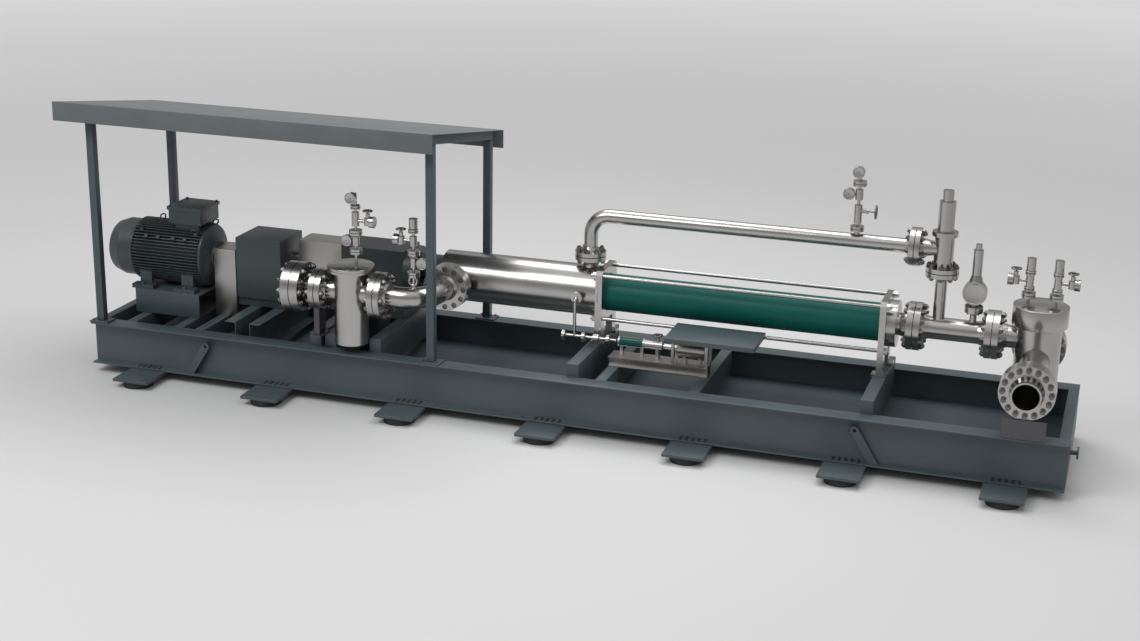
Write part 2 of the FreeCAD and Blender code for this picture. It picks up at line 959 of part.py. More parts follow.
def build_feet():
    plates = []
    pads = []
    ground = NONE
    row = dim.skid_width / 2
    for side in (-1, 1):
        for index in range(SIZES["foot_count"]):
            x = station(dim.first_foot_station + dim.foot_spacing * index)
            width = dim.foot_reach + dim.beam_flange_width
            y = side * (row + dim.foot_reach / 2 - dim.beam_flange_width / 2)
            plates.append(centred_box((x, y, dim.pad_height), dim.foot_plate_width, width,
                                      dim.foot_plate_thick))
            pads.append(cylinder((x, side * (row + dim.pad_outboard), ground), dim.pad_radius,
                                 dim.pad_height))
            flange_top = beam_floor + dim.beam_flange
            for line in range(SIZES["foot_bolt_rows"]):
                for turn in range(SIZES["foot_bolts_in_row"]):
                    along = dim.foot_bolt_pitch * (turn - (SIZES["foot_bolts_in_row"] - 1) / 2)
                    inward = (dim.foot_bolt_radius * 2
                              + dim.foot_bolt_row_gap * line * dim.foot_bolt_line_share)
                    bolts.append(hexagon((x + along, side * (row - inward), flange_top),
                                         dim.foot_bolt_radius, dim.foot_bolt_head))
    node("foot_plates", group(*plates))
    node("foot_pads", group(*pads))


def lifting_lug(place_at, lean, side):
    """A leaning plate with an eye in its round head, held off the beam's web by a rib."""
    half = dim.lug_width / 2
    run = dim.lug_run * lean
    length = root_of(dim.lug_run * dim.lug_run + dim.lug_rise * dim.lug_rise)
    web = side * (dim.skid_width / 2 - dim.beam_flange_width / 2 + dim.beam_web / 2 + dim.weld_gap)
    stand = dim.lug_standoff
    inner = web + stand * side
    outer = inner + dim.lug_thick * side
    front = outer if side > 0 else inner
    rib_front = inner if side > 0 else web
    foot = beam_floor + dim.beam_flange
    x = station(place_at)
    angle = math.degrees(math.atan2(run.value, dim.lug_rise.value))
    turn = FreeCAD.Rotation(FreeCAD.Vector(0, 1, 0), angle) * TURN["-y"]
    plate = extruded([[(-half, -half), (half, -half), (half, length), (-half, length)]],
                     dim.lug_thick, (x, front, foot), turn)
    rib_half = dim.lug_rib_thick / 2
    rib = extruded([[(-rib_half, -half), (rib_half, -half), (rib_half, length - dim.lug_width),
                     (-rib_half, length - dim.lug_width)]], stand, (x, rib_front, foot), turn)
    eye = (x + run, front, foot + dim.lug_rise)
    below = centred_box((x, NONE, beam_floor - dim.lug_width), dim.lug_width * 4, dim.skid_width,
                        dim.lug_width + dim.beam_flange)
    return cut(fuse(plate, rib, cylinder(eye, half, dim.lug_thick, "-y")), below,
               cylinder(eye, dim.lug_hole_radius, dim.lug_thick, "-y"))


def build_lugs():
    node("lifting_lugs", group(*[
        lifting_lug(place_at, lean, side) for side in (-1, 1)
        for place_at, lean in ((dim.lug_left_station, 1), (dim.lug_right_station, -1))]))


def build_canopy():
    top_near = above_deck(dim.roof_top)
    fall = dim.roof_fall
    reach = dim.skid_width / 2 + dim.roof_reach
    slope = fall / (reach * 2)
    half_post = dim.post_size / 2
    row = dim.skid_width / 2 - dim.post_inset
    frames = []
    for place_at in (dim.post_left_station, dim.post_right_station):
        x = station(place_at) - half_post
        for side in (-1, 1):
            under = top_near - slope * (reach + side * row + half_post) - dim.roof_sheet
            height = under - dim.rafter_depth - deck - dim.post_foot_thick
            frames.append(rect_tube((x, side * row - half_post, deck + dim.post_foot_thick),
                                    dim.post_size, dim.post_size, height, dim.post_wall, "z"))
            frames.append(centred_box((station(place_at), side * row, deck), dim.post_foot_length,
                                      dim.post_foot_width, dim.post_foot_thick))
            for end in (-1, 1):
                spot = (station(place_at) + end * dim.post_foot_length * dim.post_bolt_length_share,
                        side * (row + dim.post_foot_width * dim.post_bolt_width_share),
                        deck + dim.post_foot_thick)
                bolts.append(hexagon(spot, dim.foot_bolt_radius, dim.foot_bolt_head))
        rafter = [
            (dim.roof_sheet + slope * (reach - row - half_post), reach - row - half_post),
            (dim.roof_sheet + slope * (reach + row + half_post), reach + row + half_post),
            (dim.roof_sheet + slope * (reach + row + half_post) + dim.rafter_depth,
             reach + row + half_post),
            (dim.roof_sheet + slope * (reach - row - half_post) + dim.rafter_depth,
             reach - row - half_post),
        ]
        frames.append(extruded([rafter], dim.post_size, (x, -reach, top_near), TURN["x"]))
    node("canopy_frame", group(*frames))
    sheet_thick = dim.roof_sheet
    roof = [
        (NONE, NONE), (fall, reach * 2), (fall + dim.fascia_depth, reach * 2),
        (fall + dim.fascia_depth, reach * 2 - sheet_thick),
        (fall + sheet_thick - slope * sheet_thick, reach * 2 - sheet_thick),
        (sheet_thick + slope * sheet_thick, sheet_thick), (dim.fascia_depth, sheet_thick),
        (dim.fascia_depth, NONE),
    ]
    node("canopy_roof", extruded([roof], dim.roof_length,
                                 (station(-dim.roof_overhang), -reach, top_near), TURN["x"]))


build_beams()
build_cross_beams()
build_feet()
build_lugs()
build_canopy()


def build_motor():
    length = dim.frame_length
    start = station(dim.motor_rear_station + dim.cowl_length)
    low = axis_z - dim.motor_height
    frame = turned([(dim.frame_bore, NONE), (dim.frame_radius, NONE), (dim.frame_radius, length),
                    (dim.frame_bore, length)], (start, NONE, axis_z), "x")
    doc.recompute()
    fin_sketch = new_sketch(frame, "XY_Plane")
    half = dim.fin_thick / 2
    root = dim.frame_radius - dim.fin_thick
    draw_loop(fin_sketch, [(root, -half), (dim.fin_radius, -half), (dim.fin_radius, half),
                           (root, half)])
    fin = frame.newObject("PartDesign::Pad", "Fin")
    fin.Profile = fin_sketch
    bind(fin, "Length", length)
    around(frame, [fin], SIZES["fin_count"])
    shoes = []
    for side in (-1, 1):
        for x in (start + dim.fin_thick * 4,
                  start + length - dim.motor_foot_length - dim.fin_thick * 4):
            shoes.append(box((x, side * dim.motor_foot_spread - dim.motor_foot_width / 2, low),
                             dim.motor_foot_length, dim.motor_foot_width, dim.motor_foot_thick))
            leg_width = dim.motor_foot_width / 2
            shoes.append(box((x + leg_width, side * (dim.motor_foot_spread - leg_width) - leg_width / 2,
                              low), dim.motor_foot_length - leg_width * 2, leg_width,
                             dim.motor_height - dim.frame_radius / 2))
            bolts.append(hexagon((x + dim.motor_foot_length / 2,
                                  side * (dim.motor_foot_spread + leg_width / 2),
                                  low + dim.motor_foot_thick), dim.foot_bolt_radius * dim.motor_bolt_share,
                                 dim.foot_bolt_head * dim.motor_bolt_share))
    saddle = centred_box((station(dim.terminal_station) + dim.terminal_length / 2, NONE,
                          axis_z + dim.frame_bore), dim.terminal_length * dim.saddle_share,
                         dim.terminal_width * dim.saddle_share, dim.terminal_lift - dim.frame_bore)
    bore = cylinder((start, NONE, axis_z), dim.frame_bore, length, "x")
    core_start = start + length / 2 - dim.rotor_core_length / 2
    winding = tube((core_start, NONE, axis_z), dim.frame_bore,
                   dim.frame_bore - dim.rotor_core_radius - dim.air_gap, dim.rotor_core_length, "x")
    node("motor_frame", group(cut(fuse(frame, saddle, *shoes), bore), winding))
    body_height = dim.terminal_height * dim.terminal_body_height_share
    box_part = centred_box((station(dim.terminal_station) + dim.terminal_length / 2, NONE,
                            axis_z + dim.terminal_lift), dim.terminal_length * dim.terminal_body_share,
                           dim.terminal_width * dim.terminal_body_share, body_height)
    lid = centred_box((station(dim.terminal_station) + dim.terminal_length / 2, NONE,
                       axis_z + dim.terminal_lift + body_height),
                      dim.terminal_length, dim.terminal_width, dim.terminal_height * dim.terminal_lid_share)
    gland_z = axis_z + dim.terminal_lift + dim.terminal_height * dim.gland_height_share
    glands = [cylinder((station(dim.terminal_station) + dim.terminal_length * share,
                        dim.terminal_width * dim.gland_side_share, gland_z),
                       dim.foot_bolt_radius * dim.gland_radius_share, dim.motor_foot_width / 2, "y")
              for share in (dim.gland_a_share, dim.gland_b_share)]
    node("terminal_box", fuse(box_part, lid, *glands))
    bore_radius = dim.motor_shaft_radius + dim.fit_gap
    shield = [(bore_radius, NONE), (dim.shield_radius, NONE),
              (dim.shield_radius, dim.shield_length * dim.shield_rim_share),
              (dim.shield_radius * dim.shield_neck_radius_share, dim.shield_length * dim.shield_neck_share),
              (dim.shield_hub_radius, dim.shield_length * dim.shield_hub_share),
              (dim.shield_hub_radius, dim.shield_length), (bore_radius, dim.shield_length)]
    drive = turned(shield, (start + length, NONE, axis_z), "x")
    rear = [(bore_radius, NONE), (dim.frame_radius, NONE),
            (dim.frame_radius, dim.shield_length * dim.rear_rim_share),
            (dim.shield_hub_radius, dim.shield_length * dim.rear_hub_share),
            (bore_radius, dim.shield_length * dim.rear_hub_share)]
    node("motor_endshields", group(drive, turned(rear, (start, NONE, axis_z), "-x")))
    wall = dim.cowl_sheet
    reach = dim.cowl_length
    cone_end = reach * dim.cowl_cone_share
    cowl = turned([
        (NONE, NONE), (dim.cowl_rear_radius - wall * 5, NONE), (dim.cowl_rear_radius, wall * 5),
        (dim.cowl_radius, cone_end), (dim.cowl_radius, reach), (dim.cowl_radius - wall, reach),
        (dim.cowl_radius - wall, cone_end + wall), (dim.cowl_rear_radius - wall, wall * 6),
        (dim.cowl_rear_radius - wall * 6, wall), (NONE, wall),
    ], (station(dim.motor_rear_station), NONE, axis_z), "x")
    doc.recompute()
    slot_sketch = new_sketch(cowl, "XY_Plane")
    slot_start = dim.motor_shaft_radius * 2
    slot_end = dim.cowl_rear_radius * dim.cowl_slot_share
    draw_loop(slot_sketch, [(slot_start, -wall), (slot_end, -wall * 2), (slot_end, wall * 2),
                            (slot_start, wall)])
    slot = cowl.newObject("PartDesign::Pocket", "AirSlot")
    slot.Profile = slot_sketch
    slot.Type = "ThroughAll"
    slot.Midplane = True
    around(cowl, [slot], SIZES["cowl_slot_count"])
    node("fan_cowl", cowl)
    shaft_start = start - dim.cowl_length * dim.fan_reach_share
    shaft_end = station(dim.guard_a_station) + dim.guard_end_gap + dim.coupling_hub_length
    shaft = cylinder((shaft_start, NONE, axis_z), dim.motor_shaft_radius, shaft_end - shaft_start, "x")
    core = cylinder((core_start, NONE, axis_z), dim.rotor_core_radius, dim.rotor_core_length, "x")
    node("motor_shaft", fuse(shaft, core))
    fan = turned([(dim.motor_shaft_radius, NONE), (dim.fan_hub_radius, NONE),
                  (dim.fan_hub_radius, dim.fan_width), (dim.motor_shaft_radius, dim.fan_width)],
                 (shaft_start + dim.fan_blade_thick, NONE, axis_z), "x")
    doc.recompute()
    blade_sketch = new_sketch(fan, "XY_Plane")
    half = dim.fan_blade_thick / 2
    draw_loop(blade_sketch, [(dim.fan_hub_radius - half, -half), (dim.fan_radius, -half),
                             (dim.fan_radius, half), (dim.fan_hub_radius - half, half)])
    blade = fan.newObject("PartDesign::Pad", "Blade")
    blade.Profile = blade_sketch
    bind(blade, "Length", dim.fan_width)
    around(fan, [blade], SIZES["fan_blade_count"])
    node("motor_fan", fan)
    node("motor_pedestal", rect_tube(
        (station(dim.pedestal_station), -dim.pedestal_width / 2, deck), dim.pedestal_length,
        dim.pedestal_width, dim.axis_height - dim.motor_height, dim.pedestal_plate, "x"))
    return shaft_end


def coupling_halves(start, y, bore_radius, radius):
    """Two toothed hubs with an elastic ring between them."""
    hub = dim.coupling_hub_length
    gap = dim.coupling_gap
    neck = radius * dim.coupling_neck_share
    outline = [(bore_radius, NONE), (neck, NONE), (neck, hub * dim.coupling_neck_end_share),
               (radius, hub * dim.coupling_rim_start_share), (radius, hub), (bore_radius, hub)]
    first = turned(outline, (start, y, axis_z), "x")
    second = turned(outline, (start + hub * 2 + gap, y, axis_z), "-x")
    ring = tube((start + hub, y, axis_z), radius * dim.elastic_ring_share, radius * dim.elastic_wall_share,
                gap, "x")
    return group(first, second, ring)


def guard_box(x, y, length, width, bottom, top, wall):
    """A sheet cover, open underneath, with a flange along each long side."""
    shell = cut(centred_box((x + length / 2, y, bottom), length, width, top - bottom),
                centred_box((x + length / 2, y, bottom - wall), length - wall * 2, width - wall * 2,
                            top - bottom))
    return shell


def gear_body(teeth, module, face, bore, base, phase):
    """A spur gear along X, with one tooth turned to the phase angle."""
    radius = module * teeth / 2
    body = doc.addObject("PartDesign::Body", "Gear")
    sketch = new_sketch(body, "XY_Plane")
    root = radius - module * dim.tooth_root_share
    draw_circle(sketch, NONE, NONE, root)
    if bore is not None:
        draw_circle(sketch, NONE, NONE, bore)
    disc = body.newObject("PartDesign::Pad", "Disc")
    disc.Profile = sketch
    bind(disc, "Length", face)
    doc.recompute()
    tooth_sketch = new_sketch(body, "XY_Plane")
    foot = module * dim.tooth_foot_share
    tip = module * dim.tooth_tip_share
    inner = root - module * dim.tooth_sink_share
    outer = radius + module * dim.tooth_rise_share
    draw_loop(tooth_sketch, [(inner, -foot), (outer, -tip), (outer, tip), (inner, foot)])
    tooth = body.newObject("PartDesign::Pad", "Tooth")
    tooth.Profile = tooth_sketch
    bind(tooth, "Length", face)
    around(body, [tooth], int(teeth.value))
    turn = FreeCAD.Rotation(FreeCAD.Vector(1, 0, 0), phase)
    place(body, base, turn * TURN["x"])
    return body


def build_gear_unit(motor_shaft_end):
    x = station(dim.gear_case_station)
    y = dim.gear_case_mid
    wall = dim.gear_case_wall
    length = dim.gear_case_length
    floor = above_deck(dim.gear_case_floor)
    top = above_deck(dim.gear_case_top)
    spread = dim.pump_offset
    reach_a = dim.first_module * (dim.pinion_teeth + dim.wheel_teeth) / 2
    reach_b = dim.second_module * (dim.second_pinion_teeth + dim.second_wheel_teeth) / 2
    across = (reach_a * reach_a - reach_b * reach_b + spread * spread) / (spread * 2)
    drop = root_of(reach_a * reach_a - across * across)
    middle_y = across
    middle_z = axis_z - drop
    fit = dim.fit_gap
    journal = dim.gear_shaft_radius
    outer = centred_box((x + length / 2, y, floor), length, dim.gear_case_width, top - floor)
    feet = [centred_box((x + length / 2, y + side * dim.gear_case_width * dim.gear_foot_share, raised_top),
                        length, dim.gear_case_width * dim.gear_foot_share,
                        dim.gear_case_floor - dim.raised_beam_lift)
            for side in (-1, 1)]
    inner = centred_box((x + length / 2, y, floor + wall), length - wall * 2,
                        dim.gear_case_width - wall * 2, top - floor - wall * 2)
    blind = wall * dim.blind_bore_share
    bores = [
        cylinder((x, NONE, axis_z), journal + fit, wall * 2, "x"),
        cylinder((x + length - wall, NONE, axis_z), journal + fit, blind, "x"),
        cylinder((x + wall - blind, middle_y, middle_z), journal + fit, length - (wall - blind) * 2, "x"),
        cylinder((x + wall - blind, spread, axis_z), journal + fit, blind * 2, "x"),
        cylinder((x + length - wall, spread, axis_z), dim.pump_shaft_radius + fit, wall, "x"),
    ]
    node("gearbox_case", cut(fuse(outer, *feet), inner, *bores))
    phase_a = math.degrees(math.atan2(across.value, drop.value))
    phase_b = math.degrees(math.atan2((spread - across).value, -drop.value))
    wheel_gap = 2 * QUARTER + 2 * QUARTER / dim.wheel_teeth.value
    out_gap = 2 * QUARTER + 2 * QUARTER / dim.second_wheel_teeth.value
    plane_a = x + wall + dim.gear_side_gap
    plane_b = plane_a + dim.first_face + dim.gear_side_gap
    pinion = gear_body(dim.pinion_teeth, dim.first_module, dim.first_face, None,
                       (plane_a, NONE, axis_z), phase_a)
    pinion_start = motor_shaft_end + dim.coupling_gap
    pinion_shaft = cylinder((pinion_start, NONE, axis_z), journal * dim.pinion_journal_share,
                            x + length - wall + blind - fit - pinion_start, "x")
    journals = [
        cylinder((pinion_start, NONE, axis_z), journal, x + wall - pinion_start, "x"),
        cylinder((x + length - wall - dim.gear_side_gap, NONE, axis_z), journal,
                 dim.gear_side_gap + blind - fit, "x"),
    ]
    node("input_pinion", fuse(pinion, pinion_shaft, *journals))
    wheel = gear_body(dim.wheel_teeth, dim.first_module, dim.first_face, None,
                      (plane_a, middle_y, middle_z), phase_a + wheel_gap)
    second = gear_body(dim.second_pinion_teeth, dim.second_module, dim.second_face, None,
                       (plane_b, middle_y, middle_z), phase_b)
    middle_shaft = cylinder((x + wall - blind + fit, middle_y, middle_z), journal,
                            length - (wall - blind + fit) * 2, "x")
    node("intermediate_gear", fuse(wheel, second, middle_shaft))
    big = gear_body(dim.second_wheel_teeth, dim.second_module, dim.second_face, None,
                    (plane_b, spread, axis_z), phase_b + out_gap)
    out_end = station(dim.guard_b_station) + dim.coupling_b_reach + dim.coupling_hub_length
    spigot = cylinder((x + wall - blind + fit, spread, axis_z), journal,
                      plane_b - x - wall + blind - fit, "x")
    out_shaft = cylinder((plane_b, spread, axis_z), dim.pump_shaft_radius, out_end - plane_b, "x")
    node("output_gear", fuse(big, spigot, out_shaft))
    node("input_coupling", coupling_halves(motor_shaft_end - dim.coupling_hub_length, NONE,
                                           dim.motor_shaft_radius, dim.coupling_radius))
    node("output_coupling", coupling_halves(out_end - dim.coupling_hub_length, spread,
                                            dim.pump_shaft_radius,
                                            dim.coupling_radius * dim.output_coupling_share))
    guards = [
        guard_box(station(dim.guard_a_station), NONE, dim.guard_a_length, dim.guard_a_width, deck,
                  above_deck(dim.guard_a_top), dim.guard_sheet),
        guard_box(station(dim.guard_b_station), spread, dim.guard_b_length, dim.guard_b_width,
                  raised_top, above_deck(dim.guard_b_top), dim.guard_sheet),
    ]
    openings = [
        cylinder((station(dim.guard_a_station) - dim.guard_sheet, NONE, axis_z),
                 dim.motor_shaft_radius + dim.air_gap, dim.guard_a_length + dim.guard_sheet * 2, "x"),
        cylinder((station(dim.guard_b_station) - dim.guard_sheet, spread, axis_z),
                 dim.pump_shaft_radius + dim.air_gap, dim.guard_b_length + dim.guard_sheet * 2, "x"),
    ]
    node("coupling_guards", group(*[cut(guard, hole) for guard, hole in zip(guards, openings)]))
    return out_end


def build_bearing_stool(shaft_start):
    x = station(dim.stool_station)
    y = dim.pump_offset
    length = dim.stool_length
    end_wall = dim.bearing_width + dim.stool_wall
    top = above_deck(dim.stool_top)
    base = raised_top
    outer = centred_box((x + length / 2, y, base), length, dim.stool_width, top - base)
    inner = centred_box((x + length / 2, y, base - dim.stool_wall), length - end_wall * 2,
                        dim.stool_width - dim.stool_wall * 2, top - base)
    seat = dim.bearing_radius
    shaft_hole = dim.pump_shaft_radius + dim.air_gap
    bores = [cylinder((x, y, axis_z), shaft_hole, length, "x"),
             cylinder((x + dim.stool_wall, y, axis_z), seat, dim.bearing_width, "x"),
             cylinder((x + length - end_wall, y, axis_z), seat, dim.bearing_width, "x")]
    stool = cut(outer, inner, *bores)
    flange_start = x + length
    lantern_end = station(dim.housing_station)
    reach = lantern_end - flange_start
    lantern = turned([
        (shaft_hole, NONE), (dim.stool_flange_radius, NONE),
        (dim.stool_flange_radius, dim.stool_flange_thick),
        (dim.lantern_radius, dim.stool_flange_thick), (dim.lantern_radius, reach),
        (dim.lantern_radius - dim.lantern_wall, reach),
        (dim.lantern_radius - dim.lantern_wall, dim.stool_flange_thick - dim.lantern_wall),
        (shaft_hole, dim.stool_flange_thick - dim.lantern_wall),
    ], (flange_start, y, axis_z), "x")
    window = centred_box((flange_start + dim.stool_flange_thick + (reach - dim.stool_flange_thick) / 2,
                          y, axis_z - dim.lantern_radius * dim.window_share / 2),
                         (reach - dim.stool_flange_thick) * dim.window_length_share,
                         dim.lantern_radius * 3, dim.lantern_radius * dim.window_share)
    node("bearing_housing", group(stool, cut(lantern, window)))
    rings = [turned([(dim.pump_shaft_radius, NONE), (seat, NONE), (seat, dim.bearing_width),
                     (dim.pump_shaft_radius, dim.bearing_width)], (place_at, y, axis_z), "x")
             for place_at in (x + dim.stool_wall, x + length - end_wall)]
    node("shaft_bearings", group(*[cut(ring, cylinder((place_at, y, axis_z),
                                                      dim.pump_shaft_radius + dim.fit_gap,
                                                      dim.bearing_width, "x"))
                                   for ring, place_at in zip(rings, (x + dim.stool_wall,
                                                                     x + length - end_wall))]))
    seal_end = station(dim.housing_station) - dim.running_gap
    node("mechanical_seal", turned([
        (dim.pump_shaft_radius + dim.fit_gap, NONE), (dim.seal_radius * dim.seal_neck_share, NONE),
        (dim.seal_radius * dim.seal_neck_share, dim.seal_length / 2),
        (dim.seal_radius, dim.seal_length * dim.seal_rim_start_share),
        (dim.seal_radius, dim.seal_length), (dim.pump_shaft_radius + dim.fit_gap, dim.seal_length),
    ], (seal_end - dim.seal_length, y, axis_z), "x"))
    start = shaft_start + dim.coupling_gap
    cup = station(dim.housing_station) + dim.housing_end_thick + dim.air_gap
    socket = cup + dim.link_head_length - dim.link_socket_depth
    node("drive_shaft", cut(
        fuse(cylinder((start, y, axis_z), dim.pump_shaft_radius, cup - start, "x"),
             cylinder((cup, y, axis_z), dim.link_head_radius, dim.link_head_length, "x")),
        cylinder((socket, y, axis_z), dim.link_radius + dim.air_gap, dim.link_socket_depth, "x")))
    return socket + dim.air_gap


motor_end = build_motor()
coupling_end = build_gear_unit(motor_end)
link_start = build_bearing_stool(coupling_end)


def shift(point, axis, distance):
    """A point moved along one of the main directions."""
    turn = -distance if axis.startswith("-") else distance
    return tuple(part + turn if letter == axis[-1] else as_size(part)
                 for letter, part in zip("xyz", point))


def end_plate(x, thick):
    """One of the two plates that clamp the stator, standing on its own two legs."""
    half = dim.plate_half_width
    rise = dim.plate_rise
    corner = dim.plate_chamfer
    drop = dim.axis_height - dim.raised_beam_lift
    leg = dim.plate_foot_width
    outline = [(corner - rise, -half), (-rise, corner - half), (-rise, half - corner),
               (corner - rise, half), (drop, half), (drop, half - leg), (rise, half - leg),
               (rise, leg - half), (drop, leg - half), (drop, -half)]
    plate = extruded([outline], thick, (x, dim.pump_offset, axis_z), TURN["x"])
    bores = [cylinder((x, dim.pump_offset, axis_z), dim.plate_bore_radius, thick, "x")]
    feet = []
    for side in (-1, 1):
        feet.append(centred_box((x + thick / 2, dim.pump_offset + side * (half - leg / 2), raised_top),
                                dim.plate_foot_length, leg, dim.plate_foot_thick))
        for level in (-1, 1):
            bores.append(cylinder((x, dim.pump_offset + side * dim.rod_spread,
                                   axis_z + level * dim.rod_spread),
                                  dim.rod_radius + dim.hole_clearance, thick, "x"))
    return cut(fuse(plate, *feet), *bores)


def rotor_shape():
    """A round section carried up a helix without turning, which is the shape of the rotor."""
    offset = dim.eccentricity.value
    helix = Part.makeHelix(dim.rotor_pitch.value, dim.stator_length.value, offset)
    sweep = Part.BRepOffsetAPI.MakePipeShell(Part.Wire(helix.Edges))
    sweep.setTrihedronMode(FreeCAD.Vector(0, 0, 0), FreeCAD.Vector(0, 0, 1))
    sweep.add(Part.Wire(Part.makeCircle(dim.rotor_radius.value, FreeCAD.Vector(offset, 0, 0))))
    sweep.build()
    sweep.makeSolid()
    return sweep.shape()


def cavity_shape():
    """A slot with round ends that turns half as fast as the rotor's helix."""
    length = dim.stator_length.value
    reach = 2 * dim.eccentricity.value
    radius = dim.rotor_radius.value + dim.rotor_gap.value
    corners = [FreeCAD.Vector(-reach, -radius, 0), FreeCAD.Vector(reach, -radius, 0),
               FreeCAD.Vector(reach, radius, 0), FreeCAD.Vector(-reach, radius, 0)]
    slot = Part.Wire([
        Part.makeLine(corners[0], corners[1]),
        Part.Arc(corners[1], FreeCAD.Vector(reach + radius, 0, 0), corners[2]).toShape(),
        Part.makeLine(corners[2], corners[3]),
        Part.Arc(corners[3], FreeCAD.Vector(-reach - radius, 0, 0), corners[0]).toShape(),
    ])
    sweep = Part.BRepOffsetAPI.MakePipeShell(
        Part.Wire(Part.makeLine(FreeCAD.Vector(0, 0, 0), FreeCAD.Vector(0, 0, length))))
    guide = Part.makeHelix(2 * dim.rotor_pitch.value, length, dim.stator_radius.value)
    sweep.setAuxiliarySpine(Part.Wire(guide.Edges), True, 0)
    sweep.add(slot)
    sweep.build()
    sweep.makeSolid()
    return sweep.shape()


def shaped(shape, base, rotation):
    """An object that holds a shape for which the workbenches have no feature."""
    item = doc.addObject("Part::Feature", "Helical")
    item.Shape = shape
    return place(item, base, rotation)


def build_pump(link_start):
    y = dim.pump_offset
    start = station(dim.housing_station)
    plate = station(dim.plate_station)
    length = plate - start
    line_bore = dim.line_radius - dim.line_wall
    bypass_bore = dim.bypass_radius - dim.bypass_wall
    nozzle = (station(dim.nozzle_station), y - dim.nozzle_face, axis_z)
    top = (station(dim.bypass_station), y, above_deck(dim.bypass_flange_height))
    top_reach = dim.bypass_flange_height - dim.axis_height
    side = (station(dim.flush_riser_station), y, axis_z)
    shell = fuse(
        cylinder((start, y, axis_z), dim.housing_radius, length, "x"),
        cylinder(shift(nozzle, "y", line_kind.thick), dim.line_radius,
                 dim.nozzle_face - line_kind.thick, "y"),
        cylinder((top[0], y, axis_z), dim.bypass_radius, top_reach - bypass_kind.thick),
        cylinder(side, dim.flush_pipe_radius, dim.flush_nozzle_reach, "-y"),
        cylinder(shift(side, "-y", dim.flush_nozzle_reach), dim.flush_flange_radius,
                 dim.flush_flange_thick, "y"),
        flange(line_kind, dim.line_radius, line_bore, dim.line_hub_length, nozzle, "y"),
        flange(bypass_kind, dim.bypass_radius, bypass_bore, dim.bypass_hub_length, top, "-z"),
    )
    node("suction_housing", cut(
        shell,
        cylinder((start + dim.housing_end_thick, y, axis_z), dim.housing_radius - dim.housing_wall,
                 length - dim.housing_end_thick, "x"),
        cylinder(nozzle, line_bore, dim.nozzle_face, "y"),
        cylinder((top[0], y, axis_z), bypass_bore, top_reach),
        cylinder(side, dim.flush_pipe_radius * dim.flush_bore_share, dim.flush_nozzle_reach, "-y"),
        cylinder((start, y, axis_z), dim.pump_shaft_radius + dim.air_gap, dim.housing_end_thick, "x"),
    ))
    stator_start = plate + dim.suction_plate_thick
    stator_end = stator_start + dim.stator_length
    lining_radius = dim.stator_radius - dim.stator_wall
    node("stator_tube", tube((stator_start, y, axis_z), dim.stator_radius, dim.stator_wall,
                             dim.stator_length, "x"))
    node("stator_lining", cut(cylinder((stator_start, y, axis_z), lining_radius, dim.stator_length, "x"),
                              shaped(cavity_shape(), (stator_start, y, axis_z), TURN["x"])))
    node("suction_end_plate", end_plate(plate, dim.suction_plate_thick))
    node("discharge_end_plate", end_plate(stator_end, dim.discharge_plate_thick))
    rods = []
    overhang = dim.rod_nut_height + dim.rod_radius
    rod_end = stator_end + dim.discharge_plate_thick
    for across in (-1, 1):
        for level in (-1, 1):
            place_at = (plate - overhang, y + across * dim.rod_spread, axis_z + level * dim.rod_spread)
            rods.append(fuse(
                cylinder(place_at, dim.rod_radius, rod_end - plate + overhang * 2, "x"),
                hexagon((plate - dim.rod_nut_height, place_at[1], place_at[2]), dim.rod_nut_radius,
                        dim.rod_nut_height, "x"),
                hexagon((rod_end, place_at[1], place_at[2]), dim.rod_nut_radius, dim.rod_nut_height, "x"),
            ))
    node("tie_rods", group(*rods))
    rotor_z = axis_z - dim.eccentricity
    head_start = stator_start - dim.rotor_head_length
    socket_radius = dim.link_radius + dim.air_gap
    rotor = shaped(rotor_shape(), (stator_start, y, rotor_z), TURN["x"])
    node("rotor", cut(
        fuse(rotor, cylinder((head_start, y, rotor_z), dim.link_head_radius, dim.rotor_head_length, "x")),
        cylinder((head_start, y, rotor_z), socket_radius, dim.link_socket_depth, "x"),
    ))
    ball_radius = socket_radius - dim.running_gap
    first_ball = link_start + ball_radius
    reach = head_start + dim.link_socket_depth - dim.air_gap - ball_radius - first_ball
    tilt = math.degrees(math.atan2(dim.eccentricity.value, reach.value))
    turn = FreeCAD.Rotation(FreeCAD.Vector(0, 1, 0), QUARTER + tilt)
    rod = doc.addObject("Part::Cylinder", "Link")
    bind(rod, "Radius", dim.link_radius)
    bind(rod, "Height", root_of(reach * reach + dim.eccentricity * dim.eccentricity))
    place(rod, (first_ball, y, axis_z), turn)
    node("coupling_rod", fuse(rod, ball((first_ball, y, axis_z), ball_radius),
                              ball((first_ball + reach, y, rotor_z), ball_radius)))


def elbow_boss_place():
    """The place on the elbow's centre line over which its instrument stem stands."""
    along = dim.bend_radius * dim.boss_share
    back = dim.bend_radius - root_of(dim.bend_radius * dim.bend_radius - along * along)
    line_y = dim.pump_offset - dim.nozzle_face - dim.line_setback
    return (station(dim.nozzle_station) - dim.bend_radius + along, line_y + back, axis_z)


